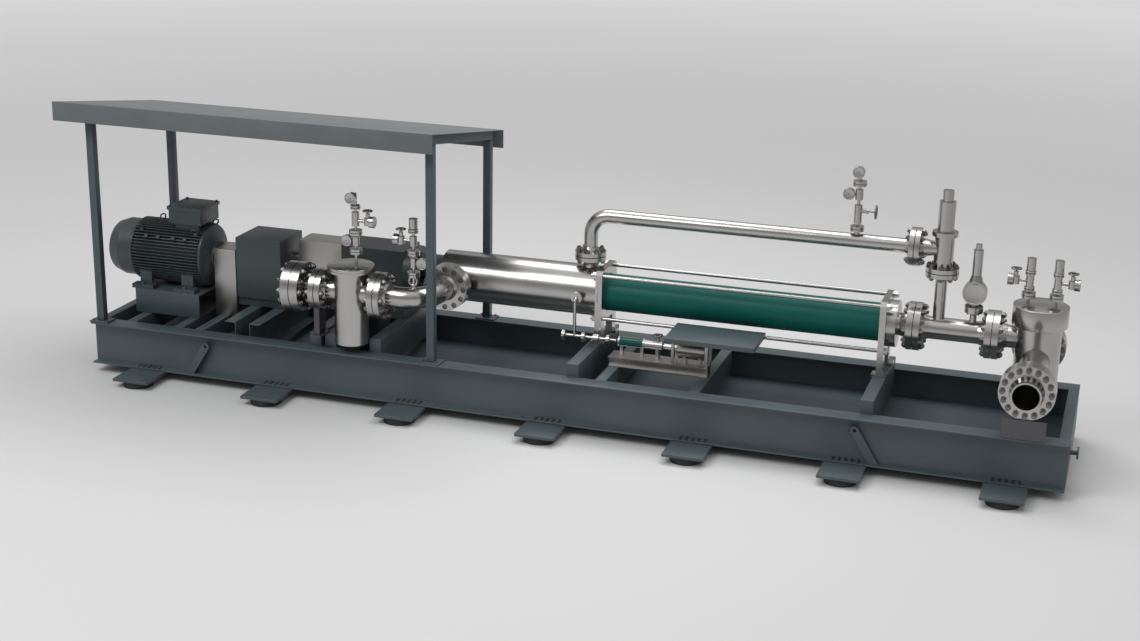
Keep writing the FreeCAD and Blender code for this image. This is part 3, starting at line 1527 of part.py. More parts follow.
def build_suction_line():
    y = dim.pump_offset - dim.nozzle_face - dim.line_setback
    bore = dim.line_radius - dim.line_wall
    hub = dim.hub_flare
    inlet = (station(dim.inlet_pair_station), y, axis_z)
    narrow = (station(dim.narrow_pair_station), y, axis_z)
    right = (station(dim.right_pair_station), y, axis_z)
    nozzle = (station(dim.nozzle_station), dim.pump_offset - dim.nozzle_face, axis_z)
    pot = (station(dim.strainer_station), y, above_deck(dim.strainer_floor))
    socket = inlet_kind.thick + dim.raised_face
    companion = cut(flange(inlet_kind, dim.line_radius + hub, dim.line_radius + dim.hole_clearance, hub,
                           inlet, "-x"),
                    cylinder(inlet, dim.line_radius + dim.hole_clearance, socket + hub, "-x"))
    spool = cut(
        fuse(cylinder(inlet, dim.line_radius, narrow[0] - inlet[0], "x"),
             flange(inlet_kind, dim.line_radius, bore, hub, inlet, "x"),
             flange(narrow_kind, dim.line_radius, bore, hub, narrow, "-x")),
        cylinder(inlet, bore, narrow[0] - inlet[0], "x"))
    turn = FreeCAD.Rotation(FreeCAD.Vector(0, 0, 1), -QUARTER)
    centre = (nozzle[0] - dim.bend_radius, y + dim.bend_radius, axis_z)
    straight = centre[0] - right[0]
    after = nozzle[1] - centre[1]
    elbow = cut(
        fuse(cylinder(right, dim.line_radius, straight, "x"),
             bend(centre, dim.bend_radius, dim.line_radius, turn),
             cylinder((nozzle[0], centre[1], axis_z), dim.line_radius, after, "y"),
             cylinder(elbow_boss_place(), dim.boss_radius, dim.line_radius + dim.boss_height),
             flange(line_kind, dim.line_radius, bore, hub, right, "x"),
             flange(line_kind, dim.line_radius, bore, hub, nozzle, "-y",
                    (dim.screw_well_radius, dim.screw_well_depth))),
        cylinder(right, bore, straight, "x"),
        bend(centre, dim.bend_radius, bore, turn),
        cylinder((nozzle[0], centre[1], axis_z), bore, after, "y"))
    node("suction_pipework", group(companion, spool, elbow))
    pot_height = dim.strainer_top - dim.strainer_floor
    node("strainer_body", cut(
        fuse(cylinder(pot, dim.strainer_radius, pot_height),
             cylinder(shift(pot, "z", pot_height - dim.strainer_collar), dim.strainer_lid_radius,
                      dim.strainer_collar),
             cylinder(narrow, dim.line_radius, right[0] - narrow[0], "x"),
             flange(narrow_kind, dim.line_radius, bore, hub, narrow, "x"),
             flange(line_kind, dim.line_radius, bore, hub, right, "-x")),
        cylinder(shift(pot, "z", dim.strainer_wall), dim.strainer_radius - dim.strainer_wall,
                 pot_height - dim.strainer_wall),
        cylinder(narrow, bore, right[0] - narrow[0], "x")))
    node("strainer_lid", cylinder(shift(pot, "z", pot_height), dim.strainer_lid_radius,
                                  dim.strainer_lid_thick))
    basket_z = above_deck(dim.strainer_top) - dim.basket_length
    node("strainer_basket", fuse(
        tube((pot[0], y, basket_z), dim.basket_radius, dim.basket_sheet, dim.basket_length),
        cylinder((pot[0], y, basket_z), dim.basket_radius, dim.basket_sheet)))
    for kind, point in ((inlet_kind, inlet), (narrow_kind, narrow), (line_kind, right)):
        bolts.append(studs(kind, point, "x"))
    bolts.append(cap_screws(line_kind, nozzle, "-y"))
    post_height = dim.axis_height - dim.narrow_flange_radius - dim.raised_beam_lift
    post = (narrow[0] - dim.narrow_flange_thick / 2, y, raised_top)
    saddle = centred_box(shift(post, "z", post_height), dim.narrow_flange_thick, dim.support_width,
                         dim.support_width / 3)
    web = centred_box(post, dim.support_plate, dim.support_width, post_height)
    wings = [centred_box(shift(post, "y", side * (dim.support_width - dim.support_plate) / 2),
                         dim.narrow_flange_thick, dim.support_plate, post_height) for side in (-1, 1)]
    sole = centred_box(post, dim.support_foot / 2, dim.support_foot, dim.support_plate)
    rim = cylinder(shift(narrow, "-x", dim.narrow_flange_thick * 2),
                   dim.narrow_flange_radius + dim.running_gap, dim.narrow_flange_thick * 4, "x")
    return cut(fuse(saddle, web, sole, *wings), rim)


def build_discharge():
    y = dim.pump_offset
    bore = dim.line_radius - dim.line_wall
    riser_bore = dim.riser_radius - dim.bypass_wall
    hub = dim.line_hub_length
    start = station(dim.plate_station) + dim.suction_plate_thick + dim.stator_length \
        + dim.discharge_plate_thick
    first = (station(dim.discharge_pair_station), y, axis_z)
    second = (station(dim.vessel_pair_station), y, axis_z)
    vessel = (station(dim.vessel_station), y, above_deck(dim.vessel_floor))
    riser = (station(dim.riser_station), y, axis_z)
    relief = (riser[0], y, above_deck(dim.relief_pair_height))
    small = (station(dim.small_valve_station), y, axis_z)
    small_height = dim.small_flange_height - dim.axis_height
    outlet = cut(
        fuse(cylinder((start, y, axis_z), dim.discharge_disc_radius, dim.discharge_disc_thick, "x"),
             cylinder((start, y, axis_z), dim.line_radius, first[0] - start, "x"),
             flange(line_kind, dim.line_radius, bore, hub, first, "-x")),
        cylinder((start, y, axis_z), bore, first[0] - start, "x"))
    tee = cut(
        fuse(cylinder(first, dim.line_radius, second[0] - first[0], "x"),
             flange(line_kind, dim.line_radius, bore, hub, first, "x"),
             flange(line_kind, dim.line_radius, bore, hub, second, "-x"),
             cylinder(riser, dim.riser_radius, relief[2] - axis_z - bypass_kind.thick),
             flange(bypass_kind, dim.riser_radius, riser_bore, dim.bypass_hub_length, relief, "-z"),
             cylinder(small, dim.small_neck_radius, small_height),
             cylinder(shift(small, "z", small_height - dim.small_flange_thick),
                      dim.small_flange_radius, dim.small_flange_thick)),
        cylinder(first, bore, second[0] - first[0], "x"),
        cylinder(riser, riser_bore, relief[2] - axis_z),
        cylinder(small, dim.small_neck_radius - dim.bypass_wall, small_height))
    node("discharge_pipework", group(outlet, tee))
    bolts.append(studs(line_kind, first, "x"))
    bolts.append(studs(line_kind, second, "x"))
    bolts.append(studs(bypass_kind, relief, "z"))
    depth = dim.vessel_top - dim.vessel_floor
    front = (vessel[0], y - dim.outlet_face_reach, above_deck(dim.outlet_height))
    back = (vessel[0], y + dim.blind_face_reach, above_deck(dim.outlet_height))
    outlet_bore = dim.outlet_pipe_radius - dim.outlet_pipe_wall
    between = back[1] - front[1]
    body = cut(
        fuse(cylinder(vessel, dim.vessel_radius, depth),
             cylinder(second, dim.line_radius, vessel[0] - second[0], "x"),
             flange(line_kind, dim.line_radius, bore, hub, second, "x"),
             cylinder(shift(front, "y", outlet_kind.thick), dim.outlet_pipe_radius,
                      between - outlet_kind.thick * 2, "y"),
             flange(outlet_kind, dim.outlet_pipe_radius, outlet_bore, dim.outlet_hub_length, front, "y"),
             flange(outlet_kind, dim.outlet_pipe_radius, outlet_bore, dim.outlet_hub_length / 2, back,
                    "-y")),
        cylinder(shift(vessel, "z", dim.vessel_wall), dim.vessel_radius - dim.vessel_wall,
                 depth - dim.vessel_wall),
        cylinder(second, bore, vessel[0] - second[0], "x"),
        cylinder(front, outlet_bore, between, "y"))
    companion = cut(
        fuse(flange(outlet_kind, dim.outlet_pipe_radius, outlet_bore, dim.outlet_hub_length, front, "-y"),
             cylinder(shift(front, "-y", dim.raised_face + outlet_kind.thick + dim.outlet_hub_length),
                      dim.outlet_pipe_radius, dim.outlet_stub_length, "-y")),
        cylinder(front, outlet_bore, dim.raised_face + outlet_kind.thick + dim.outlet_hub_length
                 + dim.outlet_stub_length, "-y"))
    blind = fuse(flange(outlet_kind, dim.outlet_pipe_radius, outlet_bore, dim.running_gap, back, "y"),
                 cylinder(back, dim.outlet_pipe_radius + dim.hub_flare,
                          dim.raised_face + outlet_kind.thick, "y"))
    node("outlet_vessel", group(body, companion, blind))
    bolts.append(studs(outlet_kind, front, "y"))
    bolts.append(studs(outlet_kind, back, "y"))
    node("outlet_vessel_lid", cylinder(shift(vessel, "z", depth), dim.vessel_lid_radius,
                                       dim.vessel_lid_thick))
    plate_y = front[1] - dim.raised_face - outlet_kind.thick - dim.outlet_support_thick / 2
    plate = centred_box((vessel[0], plate_y, deck), dim.outlet_support_width,
                        dim.outlet_support_thick,
                        dim.outlet_height - dim.outlet_flange_radius + dim.raised_face)
    plinth = centred_box((vessel[0], y, deck), dim.deck_beam_width, dim.vessel_radius,
                         dim.vessel_floor)
    return [plate, plinth]


def build_bypass():
    y = dim.pump_offset
    bore = dim.bypass_radius - dim.bypass_wall
    hub = dim.bypass_hub_length
    low = (station(dim.bypass_station), y, above_deck(dim.bypass_flange_height))
    far = (station(dim.bypass_pair_station), y, above_deck(dim.bypass_height))
    centre = (low[0] + dim.bypass_bend, y, far[2] - dim.bypass_bend)
    turn = FreeCAD.Rotation(FreeCAD.Vector(1, 0, 0), QUARTER) \
        * FreeCAD.Rotation(FreeCAD.Vector(0, 0, 1), QUARTER)
    rise = centre[2] - low[2]
    run = far[0] - centre[0]
    node("bypass_pipe", cut(
        fuse(cylinder(low, dim.bypass_radius, rise),
             bend(centre, dim.bypass_bend, dim.bypass_radius, turn),
             cylinder((centre[0], y, far[2]), dim.bypass_radius, run, "x"),
             cylinder((station(dim.run_tree_station), y, far[2]), dim.boss_radius,
                      dim.bypass_radius + dim.boss_height),
             flange(bypass_kind, dim.bypass_radius, bore, hub, low, "z"),
             flange(relief_kind, dim.bypass_radius, bore, hub, far, "-x")),
        cylinder(low, bore, rise),
        bend(centre, dim.bypass_bend, bore, turn),
        cylinder((centre[0], y, far[2]), bore, run, "x")))
    bolts.append(studs(bypass_kind, low, "z"))
    bolts.append(studs(relief_kind, far, "x"))
    valve = (station(dim.riser_station), y, above_deck(dim.relief_pair_height))
    body_height = dim.relief_collar_height - dim.relief_pair_height
    chamber = dim.relief_body_radius - dim.bypass_wall * 2
    seat = dim.riser_radius - dim.bypass_wall
    bonnet_z = above_deck(dim.relief_collar_height) + dim.relief_collar_thick
    big = cut(
        fuse(cylinder(valve, dim.relief_body_radius, body_height),
             flange(bypass_kind, dim.relief_body_radius - dim.hub_flare, seat, hub, valve, "z"),
             cylinder(far, dim.bypass_radius, valve[0] - far[0], "x"),
             flange(relief_kind, dim.bypass_radius, bore, dim.relief_hub_length, far, "x"),
             cylinder(shift(valve, "z", body_height), dim.relief_collar_radius,
                      dim.relief_collar_thick),
             cylinder((valve[0], y, bonnet_z), dim.relief_bonnet_radius,
                      above_deck(dim.relief_bonnet_top) - bonnet_z),
             cylinder((valve[0], y, above_deck(dim.relief_bonnet_top)), dim.relief_cap_radius,
                      dim.relief_cap_top - dim.relief_bonnet_top)),
        cylinder(valve, seat, body_height / 2),
        cylinder(shift(valve, "z", dim.relief_seat_height), chamber,
                 body_height - dim.relief_seat_height - dim.bypass_wall),
        cylinder(far, bore, valve[0] - far[0], "x"),
        cylinder(shift(valve, "z", body_height - dim.bypass_wall * 2),
                 dim.relief_stem_radius + dim.running_gap,
                 dim.relief_cap_top - dim.relief_collar_height - dim.bypass_wall))
    disc_z = valve[2] + dim.relief_seat_height + dim.running_gap
    node("relief_spindle", fuse(
        cylinder((valve[0], y, disc_z), chamber * dim.relief_disc_share, dim.bypass_wall * 2),
        cylinder((valve[0], y, disc_z), dim.relief_stem_radius,
                 above_deck(dim.relief_bonnet_top) - disc_z - dim.relief_lift)))
    small = (station(dim.small_valve_station), y, above_deck(dim.small_flange_height))
    neck_bore = dim.small_neck_radius - dim.bypass_wall
    small_chamber = dim.small_bonnet_radius * dim.small_chamber_share
    low_z = above_deck(dim.small_disc_height) - dim.small_disc_radius / 2
    little = cut(
        fuse(cylinder(small, dim.small_flange_radius, dim.small_flange_thick),
             cylinder(small, dim.small_neck_radius * dim.small_body_share,
                      above_deck(dim.small_disc_height) - small[2]),
             cylinder((small[0], y + dim.small_disc_thick / 2, above_deck(dim.small_disc_height)),
                      dim.small_disc_radius, dim.small_disc_thick * dim.small_disc_depth_share, "-y"),
             cylinder((small[0], y, above_deck(dim.small_disc_height)), dim.small_bonnet_radius,
                      dim.small_bonnet_top - dim.small_disc_height),
             cone((small[0], y, above_deck(dim.small_disc_height) + dim.small_shoulder_height),
                  dim.small_shoulder_radius, dim.small_bonnet_radius, dim.small_shoulder_height),
             cylinder((small[0], y, above_deck(dim.small_bonnet_top)), dim.small_cap_radius,
                      dim.small_cap_top - dim.small_bonnet_top)),
        cylinder(small, neck_bore, low_z - small[2]),
        cylinder((small[0], y, low_z), small_chamber, above_deck(dim.small_disc_height) - low_z
                 + dim.small_disc_radius / 2),
        cylinder((small[0], y, above_deck(dim.small_disc_height)),
                 dim.relief_stem_radius / 2 + dim.running_gap,
                 dim.small_bonnet_top - dim.small_disc_height))
    node("small_relief_spindle", fuse(
        cylinder((small[0], y, low_z + dim.running_gap), small_chamber - dim.air_gap,
                 dim.bypass_wall),
        cylinder((small[0], y, low_z + dim.running_gap), dim.relief_stem_radius / 2,
                 above_deck(dim.small_bonnet_top) - low_z - dim.small_lift * 2)))
    node("relief_valves", group(big, little))
    for turn in range(SIZES["small_bolt_count"]):
        angle = math.radians(FULL / SIZES["small_bolt_count"] * turn)
        across = dim.small_bolt_circle / 2 * math.cos(angle)
        along = dim.small_bolt_circle / 2 * math.sin(angle)
        for face, axis in ((dim.small_flange_thick, "z"), (-dim.small_flange_thick, "-z")):
            bolts.append(hexagon((small[0] + across, y + along, small[2] + face),
                                 dim.small_bolt_radius, dim.small_bolt_height, axis))


def build_drain():
    face = station(dim.skid_length)
    point = (face, -dim.drain_offset, above_deck(dim.drain_height))
    node("drain_nozzle", cut(
        fuse(cylinder(point, dim.drain_radius, dim.drain_reach, "x"),
             cylinder(shift(point, "x", dim.drain_reach - dim.drain_flange_thick),
                      dim.drain_flange_radius, dim.drain_flange_thick, "x")),
        cylinder(point, dim.drain_radius * dim.drain_bore_share, dim.drain_reach, "x")))


build_pump(link_start)
supports = [build_suction_line()]
supports.extend(build_discharge())
build_bypass()
build_drain()


def hand_wheel(name, point, axis, reach, radius):
    """A spoked wheel on a spindle. Its bonnet, which stays still, is returned."""
    neck = reach * dim.bonnet_share
    depth = dim.spindle_grip
    spindle = dim.hand_wheel_rim
    centre = shift(point, axis, reach)
    rim = doc.addObject("Part::Torus", "Rim")
    bind(rim, "Radius1", radius)
    bind(rim, "Radius2", dim.hand_wheel_rim)
    place(rim, centre, TURN[axis])
    hub = cylinder(shift(point, axis, reach - dim.hand_wheel_hub), dim.hand_wheel_hub * dim.wheel_hub_share,
                   dim.hand_wheel_hub * 2, axis)
    spokes = [cylinder(shift(centre, f"-{letter}", radius), spindle * dim.spoke_share, radius * 2, letter)
              for letter in "xyz" if letter != axis[-1]]
    stem = cylinder(shift(point, axis, neck - depth + dim.air_gap), spindle,
                    reach - neck + depth - dim.air_gap, axis)
    node(name, fuse(rim, hub, stem, *spokes))
    return cut(cylinder(point, dim.bonnet_radius, neck, axis),
               cylinder(shift(point, axis, neck - depth), spindle + dim.running_gap, depth, axis))


def flange_pair(point):
    """Two small discs on a stem, with the joint between them at the given point."""
    half = dim.tree_joint / 2
    return [cylinder(shift(point, "z", start), dim.tree_flange_radius, dim.tree_flange_thick)
            for start in (half, -half - dim.tree_flange_thick)]


def dial(point, axis):
    """A round gauge that faces the suction side, at the end of a short arm."""
    middle = shift(shift(point, axis, dim.gauge_reach), "y", dim.gauge_thick / 2)
    return [cylinder(point, dim.gauge_arm_radius, dim.gauge_reach, axis),
            cylinder(middle, dim.gauge_radius, dim.gauge_thick, "-y")]


def branch_valve(point, axis, name):
    """A valve on a side branch, with a disc at its end and a flat hand wheel over it."""
    end = shift(point, axis, dim.branch_reach)
    block = dim.tree_block_radius
    return [
        cylinder(point, dim.tree_stem_radius, dim.branch_reach, axis),
        cylinder(shift(end, "z", -block), block, block * 2),
        cylinder(shift(end, axis, block / 2), dim.gauge_radius, dim.gauge_thick, axis),
        hand_wheel(name, shift(end, "z", block), "z", dim.branch_wheel_reach, dim.small_wheel_radius),
    ]


def instrument_tree(base, height, pair_shares, block_shares, *fittings):
    """A stem with flange pairs and blocks at shares of its height, and other fittings."""
    parts = [cylinder(base, dim.tree_stem_radius, height)]
    for share in pair_shares:
        parts.extend(flange_pair(shift(base, "z", height * share)))
    for low, high in block_shares:
        parts.append(cylinder(shift(base, "z", height * low), dim.tree_block_radius,
                              height * (high - low)))
    for fitting in fittings:
        parts.extend(fitting)
    return fuse(*parts)


def transmitter(base, height, share):
    """The round housing on top of a stem."""
    return [cylinder(shift(base, "z", height * share), dim.transmitter_radius, height * (1 - share))]


def build_instruments():
    line_y = dim.pump_offset - dim.nozzle_face - dim.line_setback
    elbow_x, elbow_y, elbow_z = elbow_boss_place()
    lid = above_deck(dim.strainer_top) + dim.strainer_lid_thick
    vessel_top = above_deck(dim.vessel_top) + dim.vessel_lid_thick
    first = (station(dim.strainer_station) + dim.strainer_radius * dim.strainer_tree_share, line_y, lid)
    second = (elbow_x, elbow_y, elbow_z + dim.line_radius + dim.boss_height)
    third = (station(dim.run_tree_station), dim.pump_offset,
             above_deck(dim.bypass_height) + dim.bypass_radius + dim.boss_height)
    outlets = [(station(dim.vessel_station) + dim.vessel_radius * dim.vessel_tree_share * side,
                dim.pump_offset, vessel_top) for side in (-1, 1)]
    tall = dim.strainer_tree_height
    middle = dim.elbow_tree_height
    run = dim.run_tree_height
    low = dim.vessel_tree_height
    trees = [
        instrument_tree(first, tall, (dim.tree_a_pair_low, dim.tree_a_pair_high),
                        ((dim.tree_a_block_foot, dim.tree_a_block_head),
                         (dim.tree_a_valve_foot, dim.tree_a_valve_head)),
                        dial(shift(first, "z", tall * dim.tree_a_dial), "-x"),
                        branch_valve(shift(first, "z", tall * dim.tree_a_branch), "x",
                                     "strainer_valve_wheel"),
                        dial(shift(first, "z", tall * dim.tree_a_top_dial), "-y")),
        instrument_tree(second, middle, (dim.tree_b_pair_low, dim.tree_b_pair_high),
                        ((dim.tree_b_block_foot, dim.tree_b_block_head),
                         (dim.tree_b_valve_foot, dim.tree_b_valve_head)),
                        branch_valve(shift(second, "z", middle * dim.tree_b_branch), "-x",
                                     "elbow_valve_wheel"),
                        dial(shift(second, "z", middle * dim.tree_b_dial), "x"),
                        transmitter(second, middle, dim.tree_b_transmitter)),
        instrument_tree(third, run, (dim.tree_c_pair_low, dim.tree_c_pair_high),
                        ((dim.tree_c_valve_foot, dim.tree_c_valve_head),
                         (dim.tree_c_block_foot, dim.tree_c_block_head)),
                        [hand_wheel("bypass_valve_wheel",
                                    shift(third, "z", run * dim.tree_c_branch), "x",
                                    dim.wheel_reach, dim.hand_wheel_radius)],
                        dial(shift(third, "z", run * dim.tree_c_dial), "-x"),
                        dial(shift(third, "z", run * dim.tree_c_top_dial), "-y")),
    ]
    for point, axis, name in zip(outlets, ("-x", "x"), ("outlet_valve_wheel_a", "outlet_valve_wheel_b")):
        trees.append(instrument_tree(point, low, (dim.tree_d_pair,),
                                     ((dim.tree_d_valve_foot, dim.tree_d_valve_head),),
                                     branch_valve(shift(point, "z", low / 2), axis, name),
                                     transmitter(point, low, dim.tree_d_transmitter)))
    node("instrument_valves", group(*trees))


def build_flush_unit():
    rail_y = -dim.flush_rail_offset
    y = -dim.flush_offset
    low = station(dim.flush_rail_station)
    line_z = above_deck(dim.flush_line_height)
    rail_top = above_deck(dim.flush_rail_height)
    sheet_top = rail_top + dim.flush_rail_wall
    pipe = dim.flush_pipe_radius
    disc = dim.flush_flange_thick
    half_rail = dim.flush_rail_width / 2
    wide = dim.flush_rail_width
    tall = dim.flush_rail_height
    wall = dim.flush_rail_wall
    channels = (
        [(NONE, NONE), (NONE, wide), (tall, wide), (tall, NONE), (tall - wall, NONE),
         (tall - wall, wide - wall), (wall, wide - wall), (wall, NONE)],
        [(NONE, NONE), (NONE, wide), (wall, wide), (wall, wall), (tall - wall, wall),
         (tall - wall, wide), (tall, wide), (tall, NONE)],
    )
    rails = [extruded([outline], dim.flush_rail_length,
                      (low, rail_y - half_rail + dim.flush_rail_gap * side, rail_top), TURN["x"])
             for side, outline in enumerate(channels)]
    bed = box((low, rail_y - half_rail, rail_top), dim.flush_rail_length,
              dim.flush_rail_gap + dim.flush_rail_width, dim.flush_rail_wall)
    hood_under = above_deck(dim.flush_hood_top) - dim.flush_hood_sheet
    posts = [box((at, rail_y - dim.flush_post_size / 2 + dim.flush_rail_gap * side, sheet_top),
                 dim.flush_post_size, dim.flush_post_size, hood_under - sheet_top)
             for at in (station(dim.flush_hood_station) + dim.flush_hood_sheet,
                        low + dim.flush_rail_length - dim.flush_post_size) for side in (0, 1)]
    node("flush_unit_base", fuse(*rails, bed, *posts))
    hood_low = above_deck(dim.flush_hood_top) - dim.flush_hood_lip
    corner = (station(dim.flush_hood_station), -dim.flush_hood_near, hood_low)
    deep = dim.flush_hood_near - dim.flush_hood_far
    wall = dim.flush_hood_sheet
    node("flush_hood", cut(
        box(corner, dim.flush_hood_length, deep, dim.flush_hood_lip),
        box((corner[0] + wall, corner[1] + wall, corner[2] - wall), dim.flush_hood_length - wall * 2,
            deep - wall * 2, dim.flush_hood_lip)))
    riser = (station(dim.flush_riser_station), y, line_z)
    nozzle_y = dim.pump_offset - dim.flush_nozzle_reach
    turn_radius = nozzle_y - y - disc * dim.flush_turn_share
    turn = FreeCAD.Rotation(FreeCAD.Vector(0, -1, 0), FreeCAD.Vector(0, 0, 1),
                            FreeCAD.Vector(-1, 0, 0), "XYZ")
    blind = (station(dim.flush_blind_station), y, line_z)
    pair_a = (station(dim.flush_pair_a_station), y, line_z)
    pair_b = (station(dim.flush_pair_b_station), y, line_z)
    stator = (station(dim.flush_stator_station), y, line_z)
    round_disc = dim.flush_flange_radius
    first = fuse(
        cylinder(blind, round_disc, disc * 2, "x"),
        cylinder(blind, pipe, pair_a[0] - blind[0], "x"),
        cylinder(riser, pipe, axis_z - turn_radius - line_z),
        bend((riser[0], y + turn_radius, axis_z - turn_radius), turn_radius, pipe, turn),
        cylinder((riser[0], nozzle_y, axis_z), pipe, nozzle_y - y - turn_radius, "-y"),
        cylinder((riser[0], nozzle_y, axis_z), round_disc, disc, "-y"),
        cylinder(pair_a, round_disc, disc, "-x"))
    middle = pair_a[0] + (pair_b[0] - pair_a[0]) / 2
    second = fuse(
        cylinder(pair_a, round_disc, disc, "x"),
        cylinder(pair_a, pipe, pair_b[0] - pair_a[0], "x"),
        cylinder((middle - disc * 2, y, line_z), pipe * dim.flush_valve_share, disc * 4, "x"),
        cylinder(pair_b, round_disc, disc, "-x"))
    third = fuse(
        cylinder(pair_b, round_disc, disc, "x"),
        cylinder(pair_b, pipe, stator[0] - pair_b[0] - disc, "x"),
        cone((stator[0] - disc * 3, y, line_z), pipe, dim.flush_stator_radius, disc * 2, "x"),
        cylinder((stator[0] - disc, y, line_z), round_disc, disc, "x"))
    node("flush_pipework", group(first, second, third))
    stator_end = stator[0] + dim.flush_stator_length
    housing_end = stator_end + dim.flush_housing_length
    motor = (station(dim.flush_motor_station), y, line_z)
    wheel_point = (station(dim.flush_wheel_station), y, line_z + dim.flush_housing_radius - dim.air_gap)
    bonnet = hand_wheel("flush_valve_wheel", wheel_point, "z", dim.flush_wheel_reach,
                        dim.small_wheel_radius)
    motor_feet = [motor[0] + dim.flush_motor_length * share
                  for share in (dim.flush_foot_a_share, dim.flush_foot_b_share)]
    feet = [centred_box((x, y, sheet_top), disc * 2, wide, line_z - sheet_top)
            for x, wide in ((stator[0] + disc, dim.flush_stator_radius),
                            (stator_end - disc, dim.flush_stator_radius),
                            (housing_end - disc * 3, dim.flush_housing_radius * 2),
                            (motor_feet[0], dim.flush_housing_radius * 2),
                            (motor_feet[1], dim.flush_housing_radius * 2))]
    offset = dim.flush_rod_circle * math.cos(math.radians(QUARTER / 2))
    for across in (-1, 1):
        for level in (-1, 1):
            bolts.append(cylinder((stator[0], y + offset * across, line_z + offset * level),
                                  dim.flush_rod_radius, dim.flush_stator_length, "x"))
    shaft_hole = dim.flush_shaft_radius + dim.running_gap
    grip = dim.spindle_grip
    node("flush_pump", group(
        fuse(cylinder(stator, dim.flush_stator_radius, dim.flush_stator_length, "x"), feet[0], feet[1]),
        cut(fuse(cylinder((stator_end, y, line_z), round_disc, disc, "x"),
                 cylinder((stator_end, y, line_z), dim.flush_housing_radius,
                          dim.flush_housing_length, "x"), feet[2], bonnet),
            cylinder((housing_end - grip, y, line_z), shaft_hole, grip, "x")),
        cut(fuse(cylinder(motor, dim.flush_motor_radius, dim.flush_motor_length, "x"),
                 feet[3], feet[4]),
            cylinder(motor, shaft_hole, grip, "x"))))
    shaft_start = housing_end - grip + dim.air_gap
    node("flush_shaft", fuse(
        cylinder((shaft_start, y, line_z), dim.flush_shaft_radius,
                 motor[0] + grip - dim.air_gap - shaft_start, "x"),
        cylinder((housing_end + disc, y, line_z), dim.flush_shaft_radius * dim.flush_coupling_share,
                 motor[0] - housing_end - disc * 2, "x")))


build_instruments()
build_flush_unit()
node("pipe_supports", group(*supports))
node("bolts_and_nuts", group(*bolts))


def check_and_write():
    """Stops if an object failed, and writes each named piece to a file of its own."""
    doc.recompute()
    for item in doc.Objects:
        if "Invalid" in item.State or "Error" in item.State:
            raise RuntimeError(f"{item.Name} failed: {item.State}")
    os.makedirs("parts", exist_ok=True)
    for item in nodes:
        if item.Shape.isNull() or not item.Shape.isValid():
            raise RuntimeError(f"{item.Label} has no valid shape")
        item.Shape.exportStep(f"parts/{item.Label}.step")
        print(item.Label, len(item.Shape.Solids), "solids", round(item.Shape.Volume / 1e6, 2), "litres")


check_and_write()
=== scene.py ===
import json
import math

import bpy
from mathutils import Euler, Matrix, Vector


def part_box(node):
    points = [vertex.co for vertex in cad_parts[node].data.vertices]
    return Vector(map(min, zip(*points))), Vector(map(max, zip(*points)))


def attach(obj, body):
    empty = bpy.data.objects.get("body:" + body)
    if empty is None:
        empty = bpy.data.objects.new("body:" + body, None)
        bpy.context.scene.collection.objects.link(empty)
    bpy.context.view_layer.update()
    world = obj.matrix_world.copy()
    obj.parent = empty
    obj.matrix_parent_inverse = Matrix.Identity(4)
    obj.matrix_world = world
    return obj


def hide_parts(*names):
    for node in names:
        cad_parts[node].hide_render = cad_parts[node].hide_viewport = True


# Looks of the skid-mounted progressive cavity pump, in metres, in the frame of the CAD model.
# X runs along the skid from the motor to the outlet, Y goes to the back and Z is up.
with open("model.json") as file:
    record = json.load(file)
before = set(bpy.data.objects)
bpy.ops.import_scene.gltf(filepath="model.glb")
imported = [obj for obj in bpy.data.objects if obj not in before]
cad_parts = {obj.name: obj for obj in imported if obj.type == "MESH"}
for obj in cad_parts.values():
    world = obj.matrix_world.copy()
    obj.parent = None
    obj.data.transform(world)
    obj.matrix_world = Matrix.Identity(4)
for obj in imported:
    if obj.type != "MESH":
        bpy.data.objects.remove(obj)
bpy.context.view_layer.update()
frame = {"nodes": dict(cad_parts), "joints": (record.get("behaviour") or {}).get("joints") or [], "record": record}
nodes = frame["nodes"]

# The finish of each CAD node, and the body that every added piece rides on
SLOTS = {part["node"]: part["material_slot"] for part in frame["record"]["subparts"]}
BODY = "skid"

# Machine axes, from the joints that turn about them
JOINT_PLACES = {joint["name"]: joint.get("pos_m") for joint in frame["joints"]}
MOTOR_Y, MOTOR_Z = JOINT_PLACES["motor_spin"][1:]
PUMP_Y, PUMP_Z = JOINT_PLACES["pump_shaft_spin"][1:]
FLUSH_Y, FLUSH_Z = JOINT_PLACES["flush_pump_spin"][1:]

# Directions, and turns in degrees
ALONG = (1, 0, 0)
FORWARD = (0, -1, 0)
UP = (0, 0, 1)
FULL_TURN = 360
QUARTER_TURN = 90

# Camera, fitted to the photograph: turn in degrees, lens and sensor in millimetres
CAMERA_PLACE = (5.423, -16.637, 6.473)
CAMERA_TURN = (72.276, -1.037, 18.116)
CAMERA_LENS = 57.32
CAMERA_SENSOR = 36
CAMERA_REACH = 400

# Edges: angles in degrees, and the width that is broken off each box-like CAD node
SHARP_ANGLE = 40.0
FLAT_ANGLE = 0.5
MERGE_DISTANCE = 0.00002
EDGE_SEGMENTS = 2
EDGE_BREAKS = {
    "gearbox_case": 0.006,
    "terminal_box": 0.006,
    "motor_pedestal": 0.004,
    "coupling_guards": 0.0015,
    "canopy_frame": 0.002,
    "canopy_roof": 0.002,
    "cross_beams": 0.003,
    "skid_beams": 0.003,
    "foot_plates": 0.003,
    "flush_hood": 0.0015,
    "outlet_vessel_lid": 0.005,
    "strainer_lid": 0.004,
}

# Sides of round pieces, bent tubes, weld beads and bolt heads
ROUND_SIDES = 48
TUBE_SIDES = 16
BEAD_SIDES = 8
HEXAGON = 6

# The share of a face's normal that lies along Z, at least for an end and at most for a side
END_SHARE = 0.9
SIDE_SHARE = 0.5

